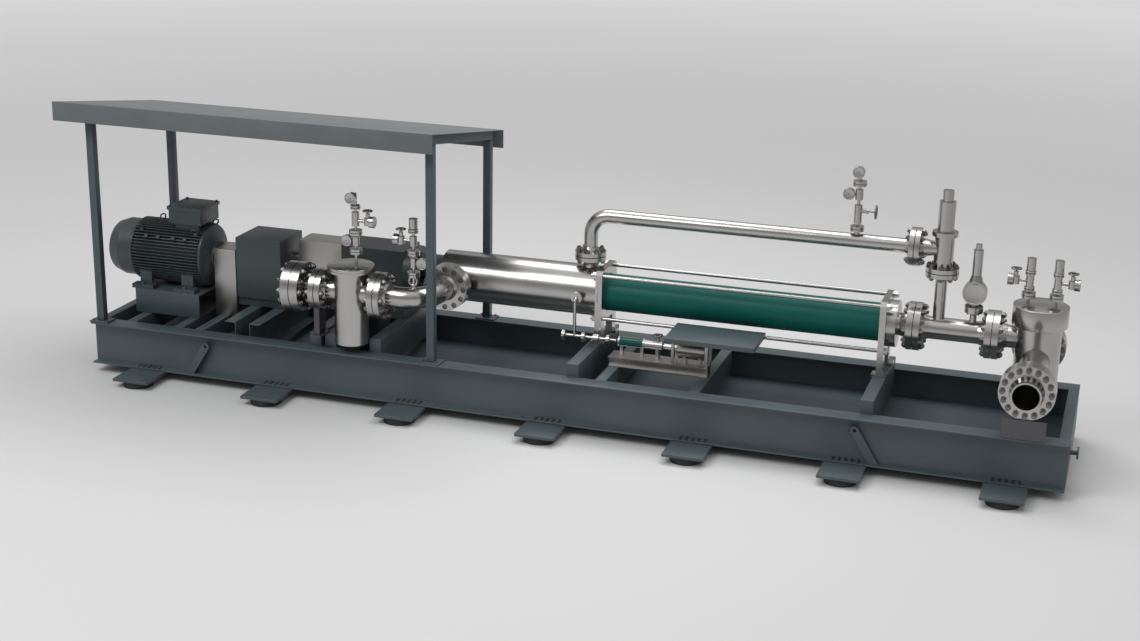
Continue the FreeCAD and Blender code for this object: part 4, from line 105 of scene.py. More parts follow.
# Gauges: a rim with a raised lip round a sunken face
GAUGE_RADIUS = 0.058
GAUGE_DEPTH = 0.010
GAUGE_LIP = 0.008
GAUGE_LIP_RISE = GAUGE_LIP / 4
GAUGE_SINK = GAUGE_DEPTH / 2
GAUGE_EDGE = GAUGE_LIP / 8
DIAL_CENTRES = (
    (-2.025, -0.743, 1.7016),
    (-1.930, -0.838, 2.1604),
    (-1.234, -0.706, 1.5295),
    (2.785, 0.217, 2.4052),
    (2.880, 0.122, 2.6420),
)

# The ends of the side branches, which have the same rim but no dial, each with its side along X
SIDE_DISCS = (
    ((-1.737, -0.722, 1.9088), 1),
    ((-1.522, -0.685, 1.7503), -1),
    ((4.3362, 0.238, 1.727), -1),
    ((4.9778, 0.238, 1.727), 1),
)

# Dials: a white disc, and on it a scale of ticks with a tapered pointer, angles in degrees
DIAL_RADIUS = GAUGE_RADIUS - GAUGE_LIP
DIAL_DEPTH = GAUGE_DEPTH * 0.6
SCALE_LIFT = GAUGE_DEPTH * 0.62
SCALE_START = -45
SCALE_SWEEP = 270
SCALE_STEPS = 9
TICK_WIDTH = 0.0016
TICK_HEIGHT = TICK_WIDTH / 2
TICK_LENGTH = GAUGE_RADIUS * 0.16
TICK_CIRCLE = GAUGE_RADIUS * 0.62
DIAL_MARGIN = TICK_WIDTH
DIAL_CROWN = TICK_WIDTH / 4
POINTER_SIDES = 4
POINTER_LENGTH = GAUGE_RADIUS * 0.6
POINTER_ROOT = TICK_WIDTH * 2
POINTER_TIP = TICK_WIDTH / 2
POINTER_FLATNESS = 0.3
POINTER_TURN = 35
HUB_RADIUS = TICK_WIDTH * 3
HUB_HEIGHT = TICK_WIDTH
HUB_CROWN = TICK_WIDTH / 2

# Collars: bolted flange pairs round the stems, with a gap between the two flanges
COLLAR_RADIUS = 0.050
COLLAR_HEIGHT = 0.036
COLLAR_FLANGE = COLLAR_HEIGHT * 0.4
COLLAR_GAP_SLOPE = COLLAR_HEIGHT * 0.04
COLLAR_GAP_DEPTH = COLLAR_RADIUS * 0.3
COLLAR_NECK_INSET = COLLAR_RADIUS * 0.45
COLLAR_NECK_RISE = COLLAR_HEIGHT * 0.15
COLLAR_EDGE = COLLAR_HEIGHT * 0.03
COLLAR_BOLTS = 6
COLLAR_BOLT_RADIUS = COLLAR_RADIUS * 0.13
COLLAR_BOLT_LENGTH = COLLAR_HEIGHT * 1.35
COLLAR_BOLT_CIRCLE = COLLAR_RADIUS * 0.8
COLLAR_PLACES = (
    (-1.930, -0.722, 2.030),
    (-1.329, -0.685, 1.835),
    (4.5292, 0.238, 1.792),
    (4.7848, 0.238, 1.792),
    (4.5292, 0.238, 1.636),
    (4.7848, 0.238, 1.636),
)

# The loop of the siphon tube, most of a turn in degrees
LOOP_RADIUS = 0.042
LOOP_TUBE = 0.012
LOOP_SWEEP = 350
LOOP_PLACE = (-1.329, -0.702, 1.345)

# The rim of the small relief valve's disc
RIM_RADIUS = 0.1155
RIM_DEPTH = 0.012
RIM_WIDTH = RIM_RADIUS * 0.14
RIM_SLOPE = RIM_RADIUS * 0.01
RIM_SINK = RIM_DEPTH * 0.4
RIM_EDGE = RIM_DEPTH * 0.1
RIM_PLACE = (4.038, 0.180, 1.565)

# Bolts of the motor: a hexagon head on a washer
BOLT_RADIUS = 0.013
BOLT_HEIGHT = BOLT_RADIUS * 0.8
BOLT_CHAMFER = BOLT_RADIUS * 0.12
BOLT_CROWN = BOLT_RADIUS * 0.1
BOLT_EDGE = BOLT_RADIUS * 0.06
WASHER_RADIUS = BOLT_RADIUS * 1.35
WASHER_HEIGHT = BOLT_RADIUS * 0.2
WASHER_CHAMFER = BOLT_RADIUS * 0.08
WASHER_CROWN = BOLT_RADIUS * 0.05

# Where the bolts sit: in the terminal box's lid, on the end shield and round the fan cowl
LID_MARGIN = 0.024
LID_SINK = 0.0005
SHIELD_REACH = 0.011
SHIELD_CIRCLE = 0.296
SHIELD_BOLTS = 8
COWL_SETBACK = 0.020
COWL_RADIUS = 0.305
COWL_ANGLES = (45, 135, 225, 315)

# Lifting eyes of the motor: a ring on a turned foot
EYE_RADIUS = 0.030
EYE_TUBE = EYE_RADIUS * 0.28
EYE_HEIGHT = EYE_RADIUS * 1.5
EYE_FOOT_RADIUS = EYE_RADIUS * 0.75
EYE_FOOT_HEIGHT = EYE_RADIUS * 0.35
EYE_NECK_INSET = EYE_RADIUS * 0.3
EYE_NECK_RISE = EYE_RADIUS * 0.25
EYE_EDGE = EYE_RADIUS * 0.04
EYE_STATIONS = (-4.66, -4.02)
EYE_ANGLES = (-38, 38)
EYE_SEAT = 0.330

# Bosses between the motor's fins, each with a blind hole
BOSS_RADIUS = 0.022
BOSS_HEIGHT = 0.034
BOSS_CHAMFER = BOSS_RADIUS * 0.3
BOSS_CROWN = BOSS_RADIUS * 0.1
BOSS_RIM = BOSS_RADIUS * 0.15
BOSS_HOLE = BOSS_RADIUS * 0.3
BOSS_EDGE = BOSS_RADIUS * 0.06
BOSS_STATIONS = (-4.58, -4.44, -4.26, -4.12)
BOSS_ANGLES = (-52, 52)
BOSS_SEAT = 0.316

# Weld beads
BEAD_RADIUS = 0.006
BEAD_SEGMENTS = 160
BEAD_RIPPLE = BEAD_RADIUS * 0.5
VESSEL_RADIUS = 0.213

# The painted jacket of the flushing pump's stator, sunk between two end bands
JACKET_START = 0.664
JACKET_END = 0.900
JACKET_RADIUS = 0.0418
JACKET_BAND = 0.012
JACKET_STEP = 0.0008
JACKET_EDGE = JACKET_STEP / 2

# Paint, rubber and metal colours, as linear light
SLATE = (0.062, 0.083, 0.092)
SLATE_LIGHT = (0.118, 0.134, 0.140)
MACHINE = (0.050, 0.064, 0.068)
TEAL = (0.001, 0.095, 0.080)
STEEL = (0.48, 0.47, 0.458)
GUARD = (0.50, 0.48, 0.455)
DARK_STEEL = (0.20, 0.195, 0.19)
# The pipe supports' steel, darkened with painted shade from the flange above them
SHADED_STAND_STEEL = (0.110, 0.106, 0.116)
CHROME = (0.62, 0.62, 0.63)
RUBBER = (0.016, 0.019, 0.021)
DIAL = (0.62, 0.62, 0.60)

# How every surface varies: wide mottling of its tone and roughness, and a fine uneven grain
UNEVENNESS = 0.15
MOTTLE_SCALE = 3.0
MOTTLE_DETAIL = 6.0
GRAIN_SCALE = 90.0
GRAIN_DETAIL = 3.0
GRAIN_STRENGTH = 0.08
GRAIN_HEIGHT = 0.002
PLAIN_GLOSS = 0.5
LOW_GLOSS = 0.25

# Studio: a floor that fades towards white far from the object, and a grey sky by height
FLOOR_SIZE = 160.0
FLOOR_GREY = 0.62
FLOOR_ROUGHNESS = 0.65
FADE_START = 5.0
FADE_END = 32.0
FADE_LIFT = 0.30
BACKDROP = 0.84
SKY_STRENGTH = 0.8
SKY_STOPS = ((0.0, 0.62), (0.28, 0.30), (0.85, 0.95))

# Lamps: place, the point that each is aimed at, width and length, and power in watts
LAMPS = {
    "key": ((-6, -9, 12), (0, 0, 1), (9, 6), 900),
    "top": ((1, 2, 9), (0, 0, 0), (12, 4), 500),
}


def uneven_finish():
    """The group behind every finish: it mottles a colour and a roughness, and adds a fine grain."""
    group = bpy.data.node_groups.new("UnevenFinish", "ShaderNodeTree")
    for label, kind in (("Colour", "NodeSocketColor"), ("Roughness", "NodeSocketFloat")):
        group.interface.new_socket(name=label, in_out="INPUT", socket_type=kind)
        group.interface.new_socket(name=label, in_out="OUTPUT", socket_type=kind)
    group.interface.new_socket(name="Normal", in_out="OUTPUT", socket_type="NodeSocketVector")
    given = group.nodes.new("NodeGroupInput")
    end = group.nodes.new("NodeGroupOutput")
    place = group.nodes.new("ShaderNodeTexCoord")
    mottle = group.nodes.new("ShaderNodeTexNoise")
    mottle.inputs["Scale"].default_value = MOTTLE_SCALE
    mottle.inputs["Detail"].default_value = MOTTLE_DETAIL
    group.links.new(place.outputs["Object"], mottle.inputs["Vector"])
    share = group.nodes.new("ShaderNodeMapRange")
    share.inputs["To Min"].default_value = 1 - UNEVENNESS
    share.inputs["To Max"].default_value = 1 + UNEVENNESS
    group.links.new(mottle.outputs["Fac"], share.inputs["Value"])
    tone = group.nodes.new("ShaderNodeVectorMath")
    tone.operation = "SCALE"
    group.links.new(given.outputs["Colour"], tone.inputs["Vector"])
    group.links.new(share.outputs["Result"], tone.inputs["Scale"])
    group.links.new(tone.outputs["Vector"], end.inputs["Colour"])
    rough = group.nodes.new("ShaderNodeMath")
    rough.operation = "MULTIPLY"
    group.links.new(given.outputs["Roughness"], rough.inputs[0])
    group.links.new(share.outputs["Result"], rough.inputs[1])
    group.links.new(rough.outputs["Value"], end.inputs["Roughness"])
    add_grain(group, place, end)
    return group


def add_grain(group, place, end):
    """A fine uneven surface, as the normal that the group puts out."""
    grain = group.nodes.new("ShaderNodeTexNoise")
    grain.inputs["Scale"].default_value = GRAIN_SCALE
    grain.inputs["Detail"].default_value = GRAIN_DETAIL
    group.links.new(place.outputs["Object"], grain.inputs["Vector"])
    bump = group.nodes.new("ShaderNodeBump")
    bump.inputs["Strength"].default_value = GRAIN_STRENGTH
    bump.inputs["Distance"].default_value = GRAIN_HEIGHT
    group.links.new(grain.outputs["Fac"], bump.inputs["Height"])
    group.links.new(bump.outputs["Normal"], end.inputs["Normal"])


UNEVEN_FINISH = uneven_finish()


def material(name, colour, roughness, metallic=0.0, gloss=PLAIN_GLOSS):
    """A paint, rubber or metal, uneven in tone, in roughness and in its surface."""
    made = bpy.data.materials.new(name)
    made.use_nodes = True
    tree = made.node_tree
    shader = tree.nodes["Principled BSDF"]
    shader.inputs["Metallic"].default_value = metallic
    shader.inputs["Specular IOR Level"].default_value = gloss
    finish = tree.nodes.new("ShaderNodeGroup")
    finish.node_tree = UNEVEN_FINISH
    finish.inputs["Colour"].default_value = (*colour, 1)
    finish.inputs["Roughness"].default_value = roughness
    tree.links.new(finish.outputs["Colour"], shader.inputs["Base Color"])
    tree.links.new(finish.outputs["Roughness"], shader.inputs["Roughness"])
    tree.links.new(finish.outputs["Normal"], shader.inputs["Normal"])
    return made


MATERIALS = {
    "frame_paint": material("FramePaint", SLATE, roughness=0.42),
    "roof_paint": material("RoofPaint", SLATE_LIGHT, roughness=0.38),
    "pan_paint": material("PanPaint", SLATE, roughness=0.5),
    "pad_rubber": material("PadRubber", RUBBER, roughness=0.7),
    "machine_paint": material("MachinePaint", MACHINE, roughness=0.40),
    "guard_steel": material("GuardSteel", GUARD, roughness=0.38, metallic=1.0),
    "pipe_steel": material("PipeSteel", STEEL, roughness=0.24, metallic=1.0),
    "stator_paint": material("StatorPaint", TEAL, roughness=0.42, gloss=LOW_GLOSS),
    "flush_pump_steel": material("FlushPumpSteel", STEEL, roughness=0.32, metallic=1.0),
    "lining_rubber": material("LiningRubber", RUBBER, roughness=0.6),
    "rotor_chrome": material("RotorChrome", CHROME, roughness=0.12, metallic=1.0),
    "shaft_steel": material("ShaftSteel", CHROME, roughness=0.30, metallic=1.0),
    "fan_plastic": material("FanPlastic", RUBBER, roughness=0.5),
    "bolt_steel": material("BoltSteel", DARK_STEEL, roughness=0.38, metallic=1.0),
    "wheel_steel": material("WheelSteel", DARK_STEEL, roughness=0.35, metallic=1.0),
    # Pipe supports: steel darkened with painted shade from the flange above them
    "shaded_stand_steel": material("ShadedStandSteel", SHADED_STAND_STEEL, roughness=0.5, metallic=0.6),
    "dial_white": material("DialWhite", DIAL, roughness=0.35),
    "dial_black": material("DialBlack", RUBBER, roughness=0.5),
}


def dress(obj, finish):
    """Gives a piece one finish and no other."""
    obj.data.materials.clear()
    obj.data.materials.append(MATERIALS[finish])


def dress_nodes():
    """Every CAD node in its slot's finish, with two that the photograph shows in another: the drain nozzle in the
    frame's paint, and the pipe supports in a darker steel whose dark tone is painted shade from the flange above
    them.
    """
    for name, slot in SLOTS.items():
        dress(nodes[name], slot)
    # The pipe supports take a darker steel, which is painted shade from the flange above them
    dress(nodes["pipe_supports"], "shaded_stand_steel")
    dress(nodes["drain_nozzle"], "frame_paint")


def select_only(obj):
    """Makes one object the only selected and the active one."""
    for other in bpy.context.selected_objects:
        other.select_set(False)
    obj.select_set(True)
    bpy.context.view_layer.objects.active = obj


def apply_place(obj):
    """Bakes an object's place, turn and scale into its mesh."""
    select_only(obj)
    bpy.ops.object.transform_apply(location=True, rotation=True, scale=True)


def finish_piece(obj, name, finish):
    """Brings a piece to the origin, then names it, paints it and has it ride on the skid."""
    apply_place(obj)
    obj.name = name
    dress(obj, finish)
    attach(obj, BODY)


def copy_at(master, name, place, axis, finish):
    """A copy of a piece that stands along Z, set at a place with its Z along the axis."""
    piece = bpy.data.objects.new(name, master.data.copy())
    bpy.context.scene.collection.objects.link(piece)
    turn = Vector(axis).to_track_quat("Z", "Y").to_matrix().to_4x4()
    piece.matrix_world = Matrix.Translation(place) @ turn
    finish_piece(piece, name, finish)


def copies(master, name, places, finish):
    """Copies of one piece at places, each with its axis. The first piece is then removed.

    Where it has the name of its first copy, Blender adds .001 to that copy's name.
    """
    for number, (place, axis) in enumerate(places, 1):
        copy_at(master, f"{name}_{number}", place, axis, finish)
    bpy.data.objects.remove(master)


def joined(first, *others):
    """Joins pieces into the first one."""
    select_only(first)
    for other in others:
        other.select_set(True)
    bpy.ops.object.join()
    return first


def break_edges(obj, width):
    """Rounds the sharp edges of a piece by a bevel, and shades it smooth across them."""
    bevel = obj.modifiers.new("EdgeBreak", "BEVEL")
    bevel.width = width
    bevel.segments = EDGE_SEGMENTS
    bevel.limit_method = "ANGLE"
    bevel.angle_limit = math.radians(SHARP_ANGLE)
    select_only(obj)
    bpy.ops.object.modifier_apply(modifier=bevel.name)
    bpy.ops.object.shade_smooth_by_angle(angle=math.radians(SHARP_ANGLE))


def broken_edge_copy(name, width):
    """A copy of a box-like CAD node with its edges broken, which stands for that node."""
    piece = bpy.data.objects.new(f"{name}_rounded", nodes[name].data.copy())
    bpy.context.scene.collection.objects.link(piece)
    select_only(piece)
    bpy.ops.object.mode_set(mode="EDIT")
    bpy.ops.mesh.select_all(action="SELECT")
    bpy.ops.mesh.remove_doubles(threshold=MERGE_DISTANCE)
    bpy.ops.mesh.dissolve_limited(angle_limit=math.radians(FLAT_ANGLE))
    bpy.ops.object.mode_set(mode="OBJECT")
    break_edges(piece, width)
    finish_piece(piece, piece.name, SLOTS[name])
    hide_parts(name)


def top_end(face):
    """The upper end of a piece that stands along Z."""
    return face.normal.z > END_SHARE


def round_side(face):
    """The faces round a piece that stands along Z."""
    return abs(face.normal.z) < SIDE_SHARE


def collar_end(face):
    """The two outer ends of a collar, and not the small faces inside its gap."""
    return abs(face.normal.z) > END_SHARE and face.area > COLLAR_RADIUS ** 2


def inset_faces(obj, wanted, *steps):
    """Insets the faces that a test picks, once for each step's thickness and depth."""
    select_only(obj)
    bpy.ops.object.mode_set(mode="EDIT")
    bpy.ops.mesh.select_mode(type="FACE")
    bpy.ops.mesh.select_all(action="DESELECT")
    bpy.ops.object.mode_set(mode="OBJECT")
    for face in obj.data.polygons:
        face.select = wanted(face)
    bpy.ops.object.mode_set(mode="EDIT")
    for thickness, depth in steps:
        bpy.ops.mesh.inset(thickness=thickness, depth=depth)
    bpy.ops.object.mode_set(mode="OBJECT")


def spun_copies(obj, steps, sweep):
    """Repeats a piece in steps round Z, over a sweep in degrees."""
    select_only(obj)
    bpy.ops.object.mode_set(mode="EDIT")
    bpy.ops.mesh.select_all(action="SELECT")
    bpy.ops.mesh.spin(steps=steps, dupli=True, angle=math.radians(sweep), center=(0, 0, 0),
                      axis=UP)
    bpy.ops.mesh.remove_doubles(threshold=MERGE_DISTANCE)
    bpy.ops.object.mode_set(mode="OBJECT")


def round_blank(name, radius, height, sides=ROUND_SIDES):
    """A round or hexagonal blank that stands on the origin, along Z."""
    bpy.ops.object.select_all(action="DESELECT")
    bpy.ops.mesh.primitive_cylinder_add(vertices=sides, radius=radius, depth=height,
                                        location=(0, 0, height / 2))
    piece = bpy.context.object
    piece.name = name
    apply_place(piece)
    return piece


def bent_tube(name, tube_radius, bend_radius, height, sweep, ends):
    """A tube spun from a small circle, over a sweep in degrees about an axis along Y."""
    bpy.ops.object.select_all(action="DESELECT")
    bpy.ops.mesh.primitive_circle_add(vertices=TUBE_SIDES, radius=tube_radius, fill_type=ends,
                                      location=(bend_radius, 0, height))
    piece = bpy.context.object
    piece.name = name
    apply_place(piece)
    bpy.ops.object.mode_set(mode="EDIT")
    bpy.ops.mesh.select_all(action="SELECT")
    bpy.ops.mesh.spin(steps=ROUND_SIDES, angle=math.radians(sweep), center=(0, 0, height),
                      axis=(0, 1, 0))
    bpy.ops.mesh.remove_doubles(threshold=MERGE_DISTANCE)
    bpy.ops.mesh.normals_make_consistent(inside=False)
    bpy.ops.object.mode_set(mode="OBJECT")
    return piece


def gauge_front():
    """A rim with a raised lip and a sunken face."""
    piece = round_blank("gauge_front_1", GAUGE_RADIUS, GAUGE_DEPTH)
    inset_faces(piece, top_end, (GAUGE_LIP, GAUGE_LIP_RISE), (GAUGE_EDGE, -GAUGE_SINK))
    break_edges(piece, GAUGE_EDGE)
    return piece


def gauge_dial():
    """The white disc behind a scale, with a slightly raised middle."""
    piece = round_blank("gauge_dial", DIAL_RADIUS, DIAL_DEPTH)
    inset_faces(piece, top_end, (DIAL_MARGIN, DIAL_CROWN))
    return piece


def scale_ticks():
    """The ticks of a dial, spun from one tick that points outwards."""
    start = math.radians(SCALE_START)
    bpy.ops.object.select_all(action="DESELECT")
    bpy.ops.mesh.primitive_cube_add(
        size=1, location=(TICK_CIRCLE * math.cos(start), TICK_CIRCLE * math.sin(start), 0),
        rotation=(0, 0, start + math.radians(QUARTER_TURN)))
    piece = bpy.context.object
    piece.name = "gauge_scale_1"
    piece.scale = (TICK_WIDTH, TICK_LENGTH, TICK_HEIGHT)
    apply_place(piece)
    spun_copies(piece, SCALE_STEPS, SCALE_SWEEP)
    return piece


def scale_pointer():
    """A flat tapered pointer across the middle of a dial."""
    bpy.ops.object.select_all(action="DESELECT")
    bpy.ops.mesh.primitive_cone_add(vertices=POINTER_SIDES, radius1=POINTER_ROOT,
                                    radius2=POINTER_TIP, depth=POINTER_LENGTH)
    pointer = bpy.context.object
    pointer.rotation_euler = (-math.radians(QUARTER_TURN), 0, math.radians(POINTER_TURN))
    pointer.scale = (1, POINTER_FLATNESS, 1)
    apply_place(pointer)
    return pointer


def gauge_scale():
    """The ticks, the pointer and its hub, as one piece."""
    hub = round_blank("hub", HUB_RADIUS, HUB_HEIGHT)
    inset_faces(hub, top_end, (TICK_WIDTH, HUB_CROWN))
    return joined(scale_ticks(), scale_pointer(), hub)


def add_gauges():
    """Fronts on all gauges and side discs, and dials with scales on those that have one."""
    dials = [(Vector(place), FORWARD) for place in DIAL_CENTRES]
    discs = [(Vector(place), (side, 0, 0)) for place, side in SIDE_DISCS]
    scales = [(place + Vector(FORWARD) * SCALE_LIFT, axis) for place, axis in dials]
    copies(gauge_front(), "gauge_front", dials + discs, "pipe_steel")
    copies(gauge_dial(), "gauge_dial", dials, "dial_white")
    copies(gauge_scale(), "gauge_scale", scales, "dial_black")


def collar():
    """A small bolted flange pair that goes round a stem."""
    piece = round_blank("stem_collar_1", COLLAR_RADIUS, COLLAR_HEIGHT)
    inset_faces(piece, round_side, (COLLAR_FLANGE, 0), (COLLAR_GAP_SLOPE, -COLLAR_GAP_DEPTH))
    inset_faces(piece, collar_end, (COLLAR_NECK_INSET, COLLAR_NECK_RISE))
    break_edges(piece, COLLAR_EDGE)
    bolt = round_blank("bolt", COLLAR_BOLT_RADIUS, COLLAR_BOLT_LENGTH, HEXAGON)
    bolt.location = (COLLAR_BOLT_CIRCLE, 0, (COLLAR_HEIGHT - COLLAR_BOLT_LENGTH) / 2)
    apply_place(bolt)
    spun_copies(bolt, COLLAR_BOLTS, FULL_TURN)
    return joined(piece, bolt)


def siphon_loop():
    """The loop of a siphon tube, closed at both ends."""
    piece = bent_tube("siphon_loop_1", LOOP_TUBE, LOOP_RADIUS, 0, LOOP_SWEEP, "NGON")
    bpy.ops.object.shade_smooth_by_angle(angle=math.radians(SHARP_ANGLE))
    return piece


def relief_rim():
    """The raised rim of a flat valve disc."""
    piece = round_blank("relief_rim_1", RIM_RADIUS, RIM_DEPTH)
    inset_faces(piece, top_end, (RIM_WIDTH, 0), (RIM_SLOPE, -RIM_SINK))
    break_edges(piece, RIM_EDGE)
    return piece


def add_stem_details():
    """What the instrument stems and the small relief valve carry."""
    copies(collar(), "stem_collar", [(place, UP) for place in COLLAR_PLACES], "pipe_steel")
    copies(siphon_loop(), "siphon_loop", [(LOOP_PLACE, UP)], "pipe_steel")
    copies(relief_rim(), "relief_rim", [(RIM_PLACE, FORWARD)], "pipe_steel")


def hexagon_bolt():
    """A bolt head with a washer and a chamfered top."""
    head = round_blank("motor_bolt_1", BOLT_RADIUS, BOLT_HEIGHT, HEXAGON)
    inset_faces(head, top_end, (BOLT_CHAMFER, BOLT_CROWN))
    washer = round_blank("washer", WASHER_RADIUS, WASHER_HEIGHT)
    inset_faces(washer, top_end, (WASHER_CHAMFER, WASHER_CROWN))
    joined(head, washer)
    break_edges(head, BOLT_EDGE)
    return head


def lifting_eye():
    """An eye bolt: a turned foot that carries a ring."""
    foot = round_blank("motor_eye_1", EYE_FOOT_RADIUS, EYE_FOOT_HEIGHT)
    inset_faces(foot, top_end, (EYE_NECK_INSET, EYE_NECK_RISE))
    ring = bent_tube("ring", EYE_TUBE, EYE_RADIUS, EYE_HEIGHT, FULL_TURN, "NOTHING")
    joined(foot, ring)
    break_edges(foot, EYE_EDGE)
    return foot


def motor_boss():
    """A turned boss with a blind hole."""
    piece = round_blank("motor_boss", BOSS_RADIUS, BOSS_HEIGHT)
    inset_faces(piece, top_end, (BOSS_CHAMFER, BOSS_CROWN), (BOSS_RIM, -BOSS_HOLE))
    break_edges(piece, BOSS_EDGE)
    return piece


def outwards(angle):
    """The direction away from the motor's axis, at an angle in degrees from straight up."""
    turn = math.radians(angle)
    return Vector((0, math.sin(turn), math.cos(turn)))


def ring_places(station, radius, count):
    """Places in a ring about the motor's axis that face along it, none of them at the top."""
    centre = Vector((station, MOTOR_Y, MOTOR_Z))
    angles = [FULL_TURN * (number + 0.5) / count for number in range(count)]
    return [(centre + outwards(angle) * radius, ALONG) for angle in angles]


def radial_places(stations, angles, radius):
    """Places on the round of the motor, each facing straight outwards."""
    return [(Vector((station, MOTOR_Y, MOTOR_Z)) + outwards(angle) * radius, outwards(angle))
            for station in stations for angle in angles]


def lid_places():
    """The corners of the terminal box's lid. On the far side the cable glands reach past it."""
    low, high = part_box("terminal_box")
    reach = MOTOR_Y - low.y - LID_MARGIN
    return [((x, MOTOR_Y + side * reach, high.z - LID_SINK), UP)
            for x in (low.x + LID_MARGIN, high.x - LID_MARGIN) for side in (-1, 1)]


def add_motor_details():
    """Bolts, lifting eyes and bosses of the motor."""
    low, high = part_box("motor_frame")
    shield = ring_places(high.x + SHIELD_REACH, SHIELD_CIRCLE, SHIELD_BOLTS)
    cowl = radial_places([low.x - COWL_SETBACK], COWL_ANGLES, COWL_RADIUS)
    eyes = radial_places(EYE_STATIONS, EYE_ANGLES, EYE_SEAT)
    bosses = radial_places(BOSS_STATIONS, BOSS_ANGLES, BOSS_SEAT)
    copies(hexagon_bolt(), "motor_bolt", lid_places() + shield + cowl, "machine_paint")
    copies(lifting_eye(), "motor_eye", eyes, "machine_paint")
    copies(motor_boss(), "motor_boss", bosses, "machine_paint")


def weld_bead(name, place, axis, radius, finish):
    """A welded seam: a ring whose surface a fine noise makes uneven."""
    bpy.ops.object.select_all(action="DESELECT")
    bpy.ops.mesh.primitive_torus_add(major_radius=radius, minor_radius=BEAD_RADIUS,
                                     major_segments=BEAD_SEGMENTS, minor_segments=BEAD_SIDES)
    ring = bpy.context.object
    ripple = bpy.data.textures.new("Ripple", "CLOUDS")
    ripple.noise_scale = BEAD_RADIUS
    displace = ring.modifiers.new("Ripple", "DISPLACE")
    displace.texture = ripple
    displace.strength = BEAD_RIPPLE
    select_only(ring)
    bpy.ops.object.modifier_apply(modifier=displace.name)
    bpy.ops.object.shade_smooth()
    copy_at(ring, name, place, axis, finish)
    bpy.data.objects.remove(ring)


def add_seams():
    """Beads at both ends of the stator, at the housing's end and under the vessel's lid."""
    low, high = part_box("stator_tube")
    for number, x in enumerate((low.x, high.x), 1):
        weld_bead(f"stator_seam_{number}", (x, PUMP_Y, PUMP_Z), ALONG, (high.y - low.y) / 2,
                  "stator_paint")
    low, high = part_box("suction_housing")
    weld_bead("housing_seam", (high.x, PUMP_Y, PUMP_Z), ALONG, PUMP_Z - low.z, "pipe_steel")
    low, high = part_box("outlet_vessel_lid")
    weld_bead("vessel_seam", ((low.x + high.x) / 2, PUMP_Y, low.z), UP, VESSEL_RADIUS,
              "pipe_steel")


def add_stator_jacket():
    """The painted wall of the flushing pump's stator."""
    jacket = round_blank("flush_stator_jacket", JACKET_RADIUS, JACKET_END - JACKET_START)
    inset_faces(jacket, round_side, (JACKET_BAND, -JACKET_STEP))
    break_edges(jacket, JACKET_EDGE)
    place = (JACKET_START, FLUSH_Y, FLUSH_Z)
    copies(jacket, "flush_stator_jacket", [(place, ALONG)], "stator_paint")


def floor_paint():
    """Pale grey, which glows towards white far from the object, and only for the camera."""
    paint = bpy.data.materials.new("FloorGrey")
    paint.use_nodes = True
    tree = paint.node_tree
    shader = tree.nodes["Principled BSDF"]
    shader.inputs["Base Color"].default_value = (FLOOR_GREY, FLOOR_GREY, FLOOR_GREY, 1)
    shader.inputs["Roughness"].default_value = FLOOR_ROUGHNESS
    shader.inputs["Emission Color"].default_value = (1, 1, 1, 1)
    place = tree.nodes.new("ShaderNodeTexCoord")
    distance = tree.nodes.new("ShaderNodeVectorMath")
    distance.operation = "LENGTH"
    tree.links.new(place.outputs["Object"], distance.inputs[0])
    fade = tree.nodes.new("ShaderNodeMapRange")
    fade.inputs["From Min"].default_value = FADE_START
    fade.inputs["From Max"].default_value = FADE_END
    fade.inputs["To Max"].default_value = FADE_LIFT
    tree.links.new(distance.outputs["Value"], fade.inputs["Value"])
    path = tree.nodes.new("ShaderNodeLightPath")
    glow = tree.nodes.new("ShaderNodeMath")
    glow.operation = "MULTIPLY"
    tree.links.new(fade.outputs["Result"], glow.inputs[0])
    tree.links.new(path.outputs["Is Camera Ray"], glow.inputs[1])
    tree.links.new(glow.outputs["Value"], shader.inputs["Emission Strength"])
    return paint


def add_floor():
    """The floor that the pads stand on."""
    bpy.ops.mesh.primitive_plane_add(size=FLOOR_SIZE, location=(0, 0, 0))
    floor = bpy.context.object
    floor.name = "floor"
    floor.data.materials.append(floor_paint())


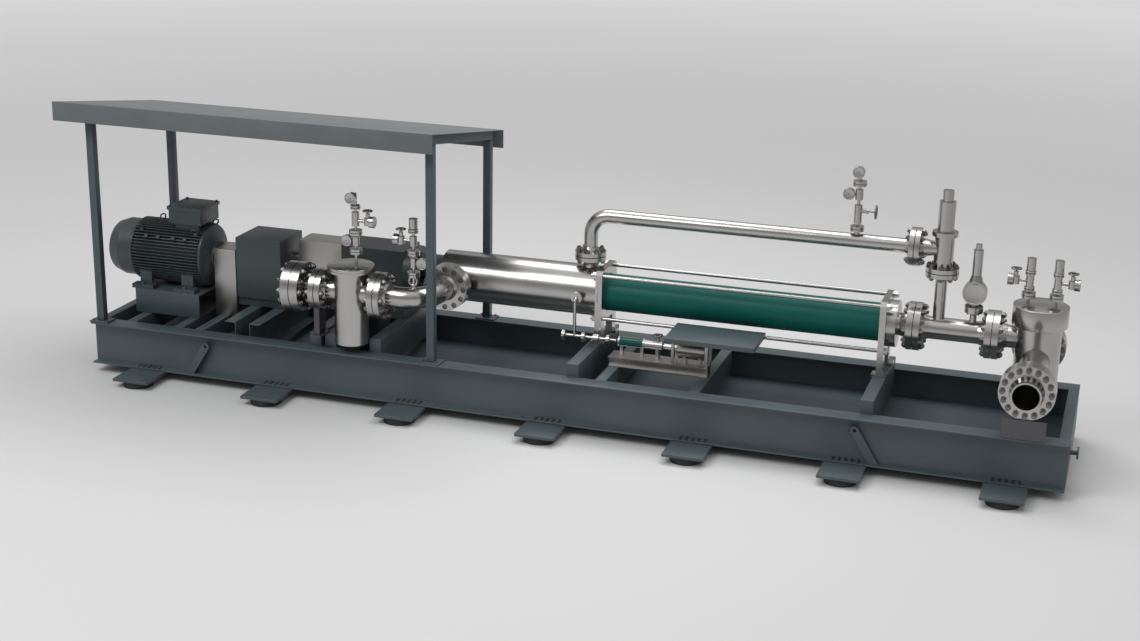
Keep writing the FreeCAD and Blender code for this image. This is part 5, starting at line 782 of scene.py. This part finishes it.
def add_sky():
    """A soft grey sky that lights the object, seen by the camera as one pale tone."""
    world = bpy.data.worlds.new("Studio")
    bpy.context.scene.world = world
    world.use_nodes = True
    tree = world.node_tree
    place = tree.nodes.new("ShaderNodeTexCoord")
    split = tree.nodes.new("ShaderNodeSeparateXYZ")
    tree.links.new(place.outputs["Generated"], split.inputs["Vector"])
    ramp = tree.nodes.new("ShaderNodeValToRGB")
    stops = ramp.color_ramp.elements
    middle_height = SKY_STOPS[1][0]
    stops.new(middle_height)
    for stop, (height, grey) in zip(stops, SKY_STOPS):
        stop.position = height
        stop.color = (grey, grey, grey, 1)
    tree.links.new(split.outputs["Z"], ramp.inputs["Fac"])
    path = tree.nodes.new("ShaderNodeLightPath")
    seen = tree.nodes.new("ShaderNodeMix")
    seen.data_type = "RGBA"
    seen.inputs["B"].default_value = (BACKDROP, BACKDROP, BACKDROP, 1)
    tree.links.new(path.outputs["Is Camera Ray"], seen.inputs["Factor"])
    tree.links.new(ramp.outputs["Color"], seen.inputs["A"])
    back = tree.nodes["Background"]
    back.inputs["Strength"].default_value = SKY_STRENGTH
    tree.links.new(seen.outputs["Result"], back.inputs["Color"])


def add_lamp(name, place, target, size, power):
    """A rectangular lamp aimed at a point."""
    bpy.ops.object.light_add(type="AREA", location=place)
    lamp = bpy.context.object
    lamp.name = name
    lamp.data.shape = "RECTANGLE"
    lamp.data.size, lamp.data.size_y = size
    lamp.data.energy = power
    aim = Vector(target) - Vector(place)
    lamp.rotation_euler = aim.to_track_quat("-Z", "Y").to_euler()


def add_camera():
    """The camera at the photograph's place and angle."""
    turn = Euler([math.radians(angle) for angle in CAMERA_TURN])
    bpy.ops.object.camera_add(location=CAMERA_PLACE, rotation=turn)
    camera = bpy.context.object
    camera.name = "photo_camera"
    camera.data.lens = CAMERA_LENS
    camera.data.sensor_width = CAMERA_SENSOR
    camera.data.clip_end = CAMERA_REACH
    bpy.context.scene.camera = camera


dress_nodes()
for node_name, edge_width in EDGE_BREAKS.items():
    broken_edge_copy(node_name, edge_width)
add_gauges()
add_stem_details()
add_motor_details()
add_seams()
add_stator_jacket()

add_floor()
add_sky()
for lamp_name, lamp_values in LAMPS.items():
    add_lamp(lamp_name, *lamp_values)
add_camera()
bpy.context.scene.view_settings.view_transform = "Standard"
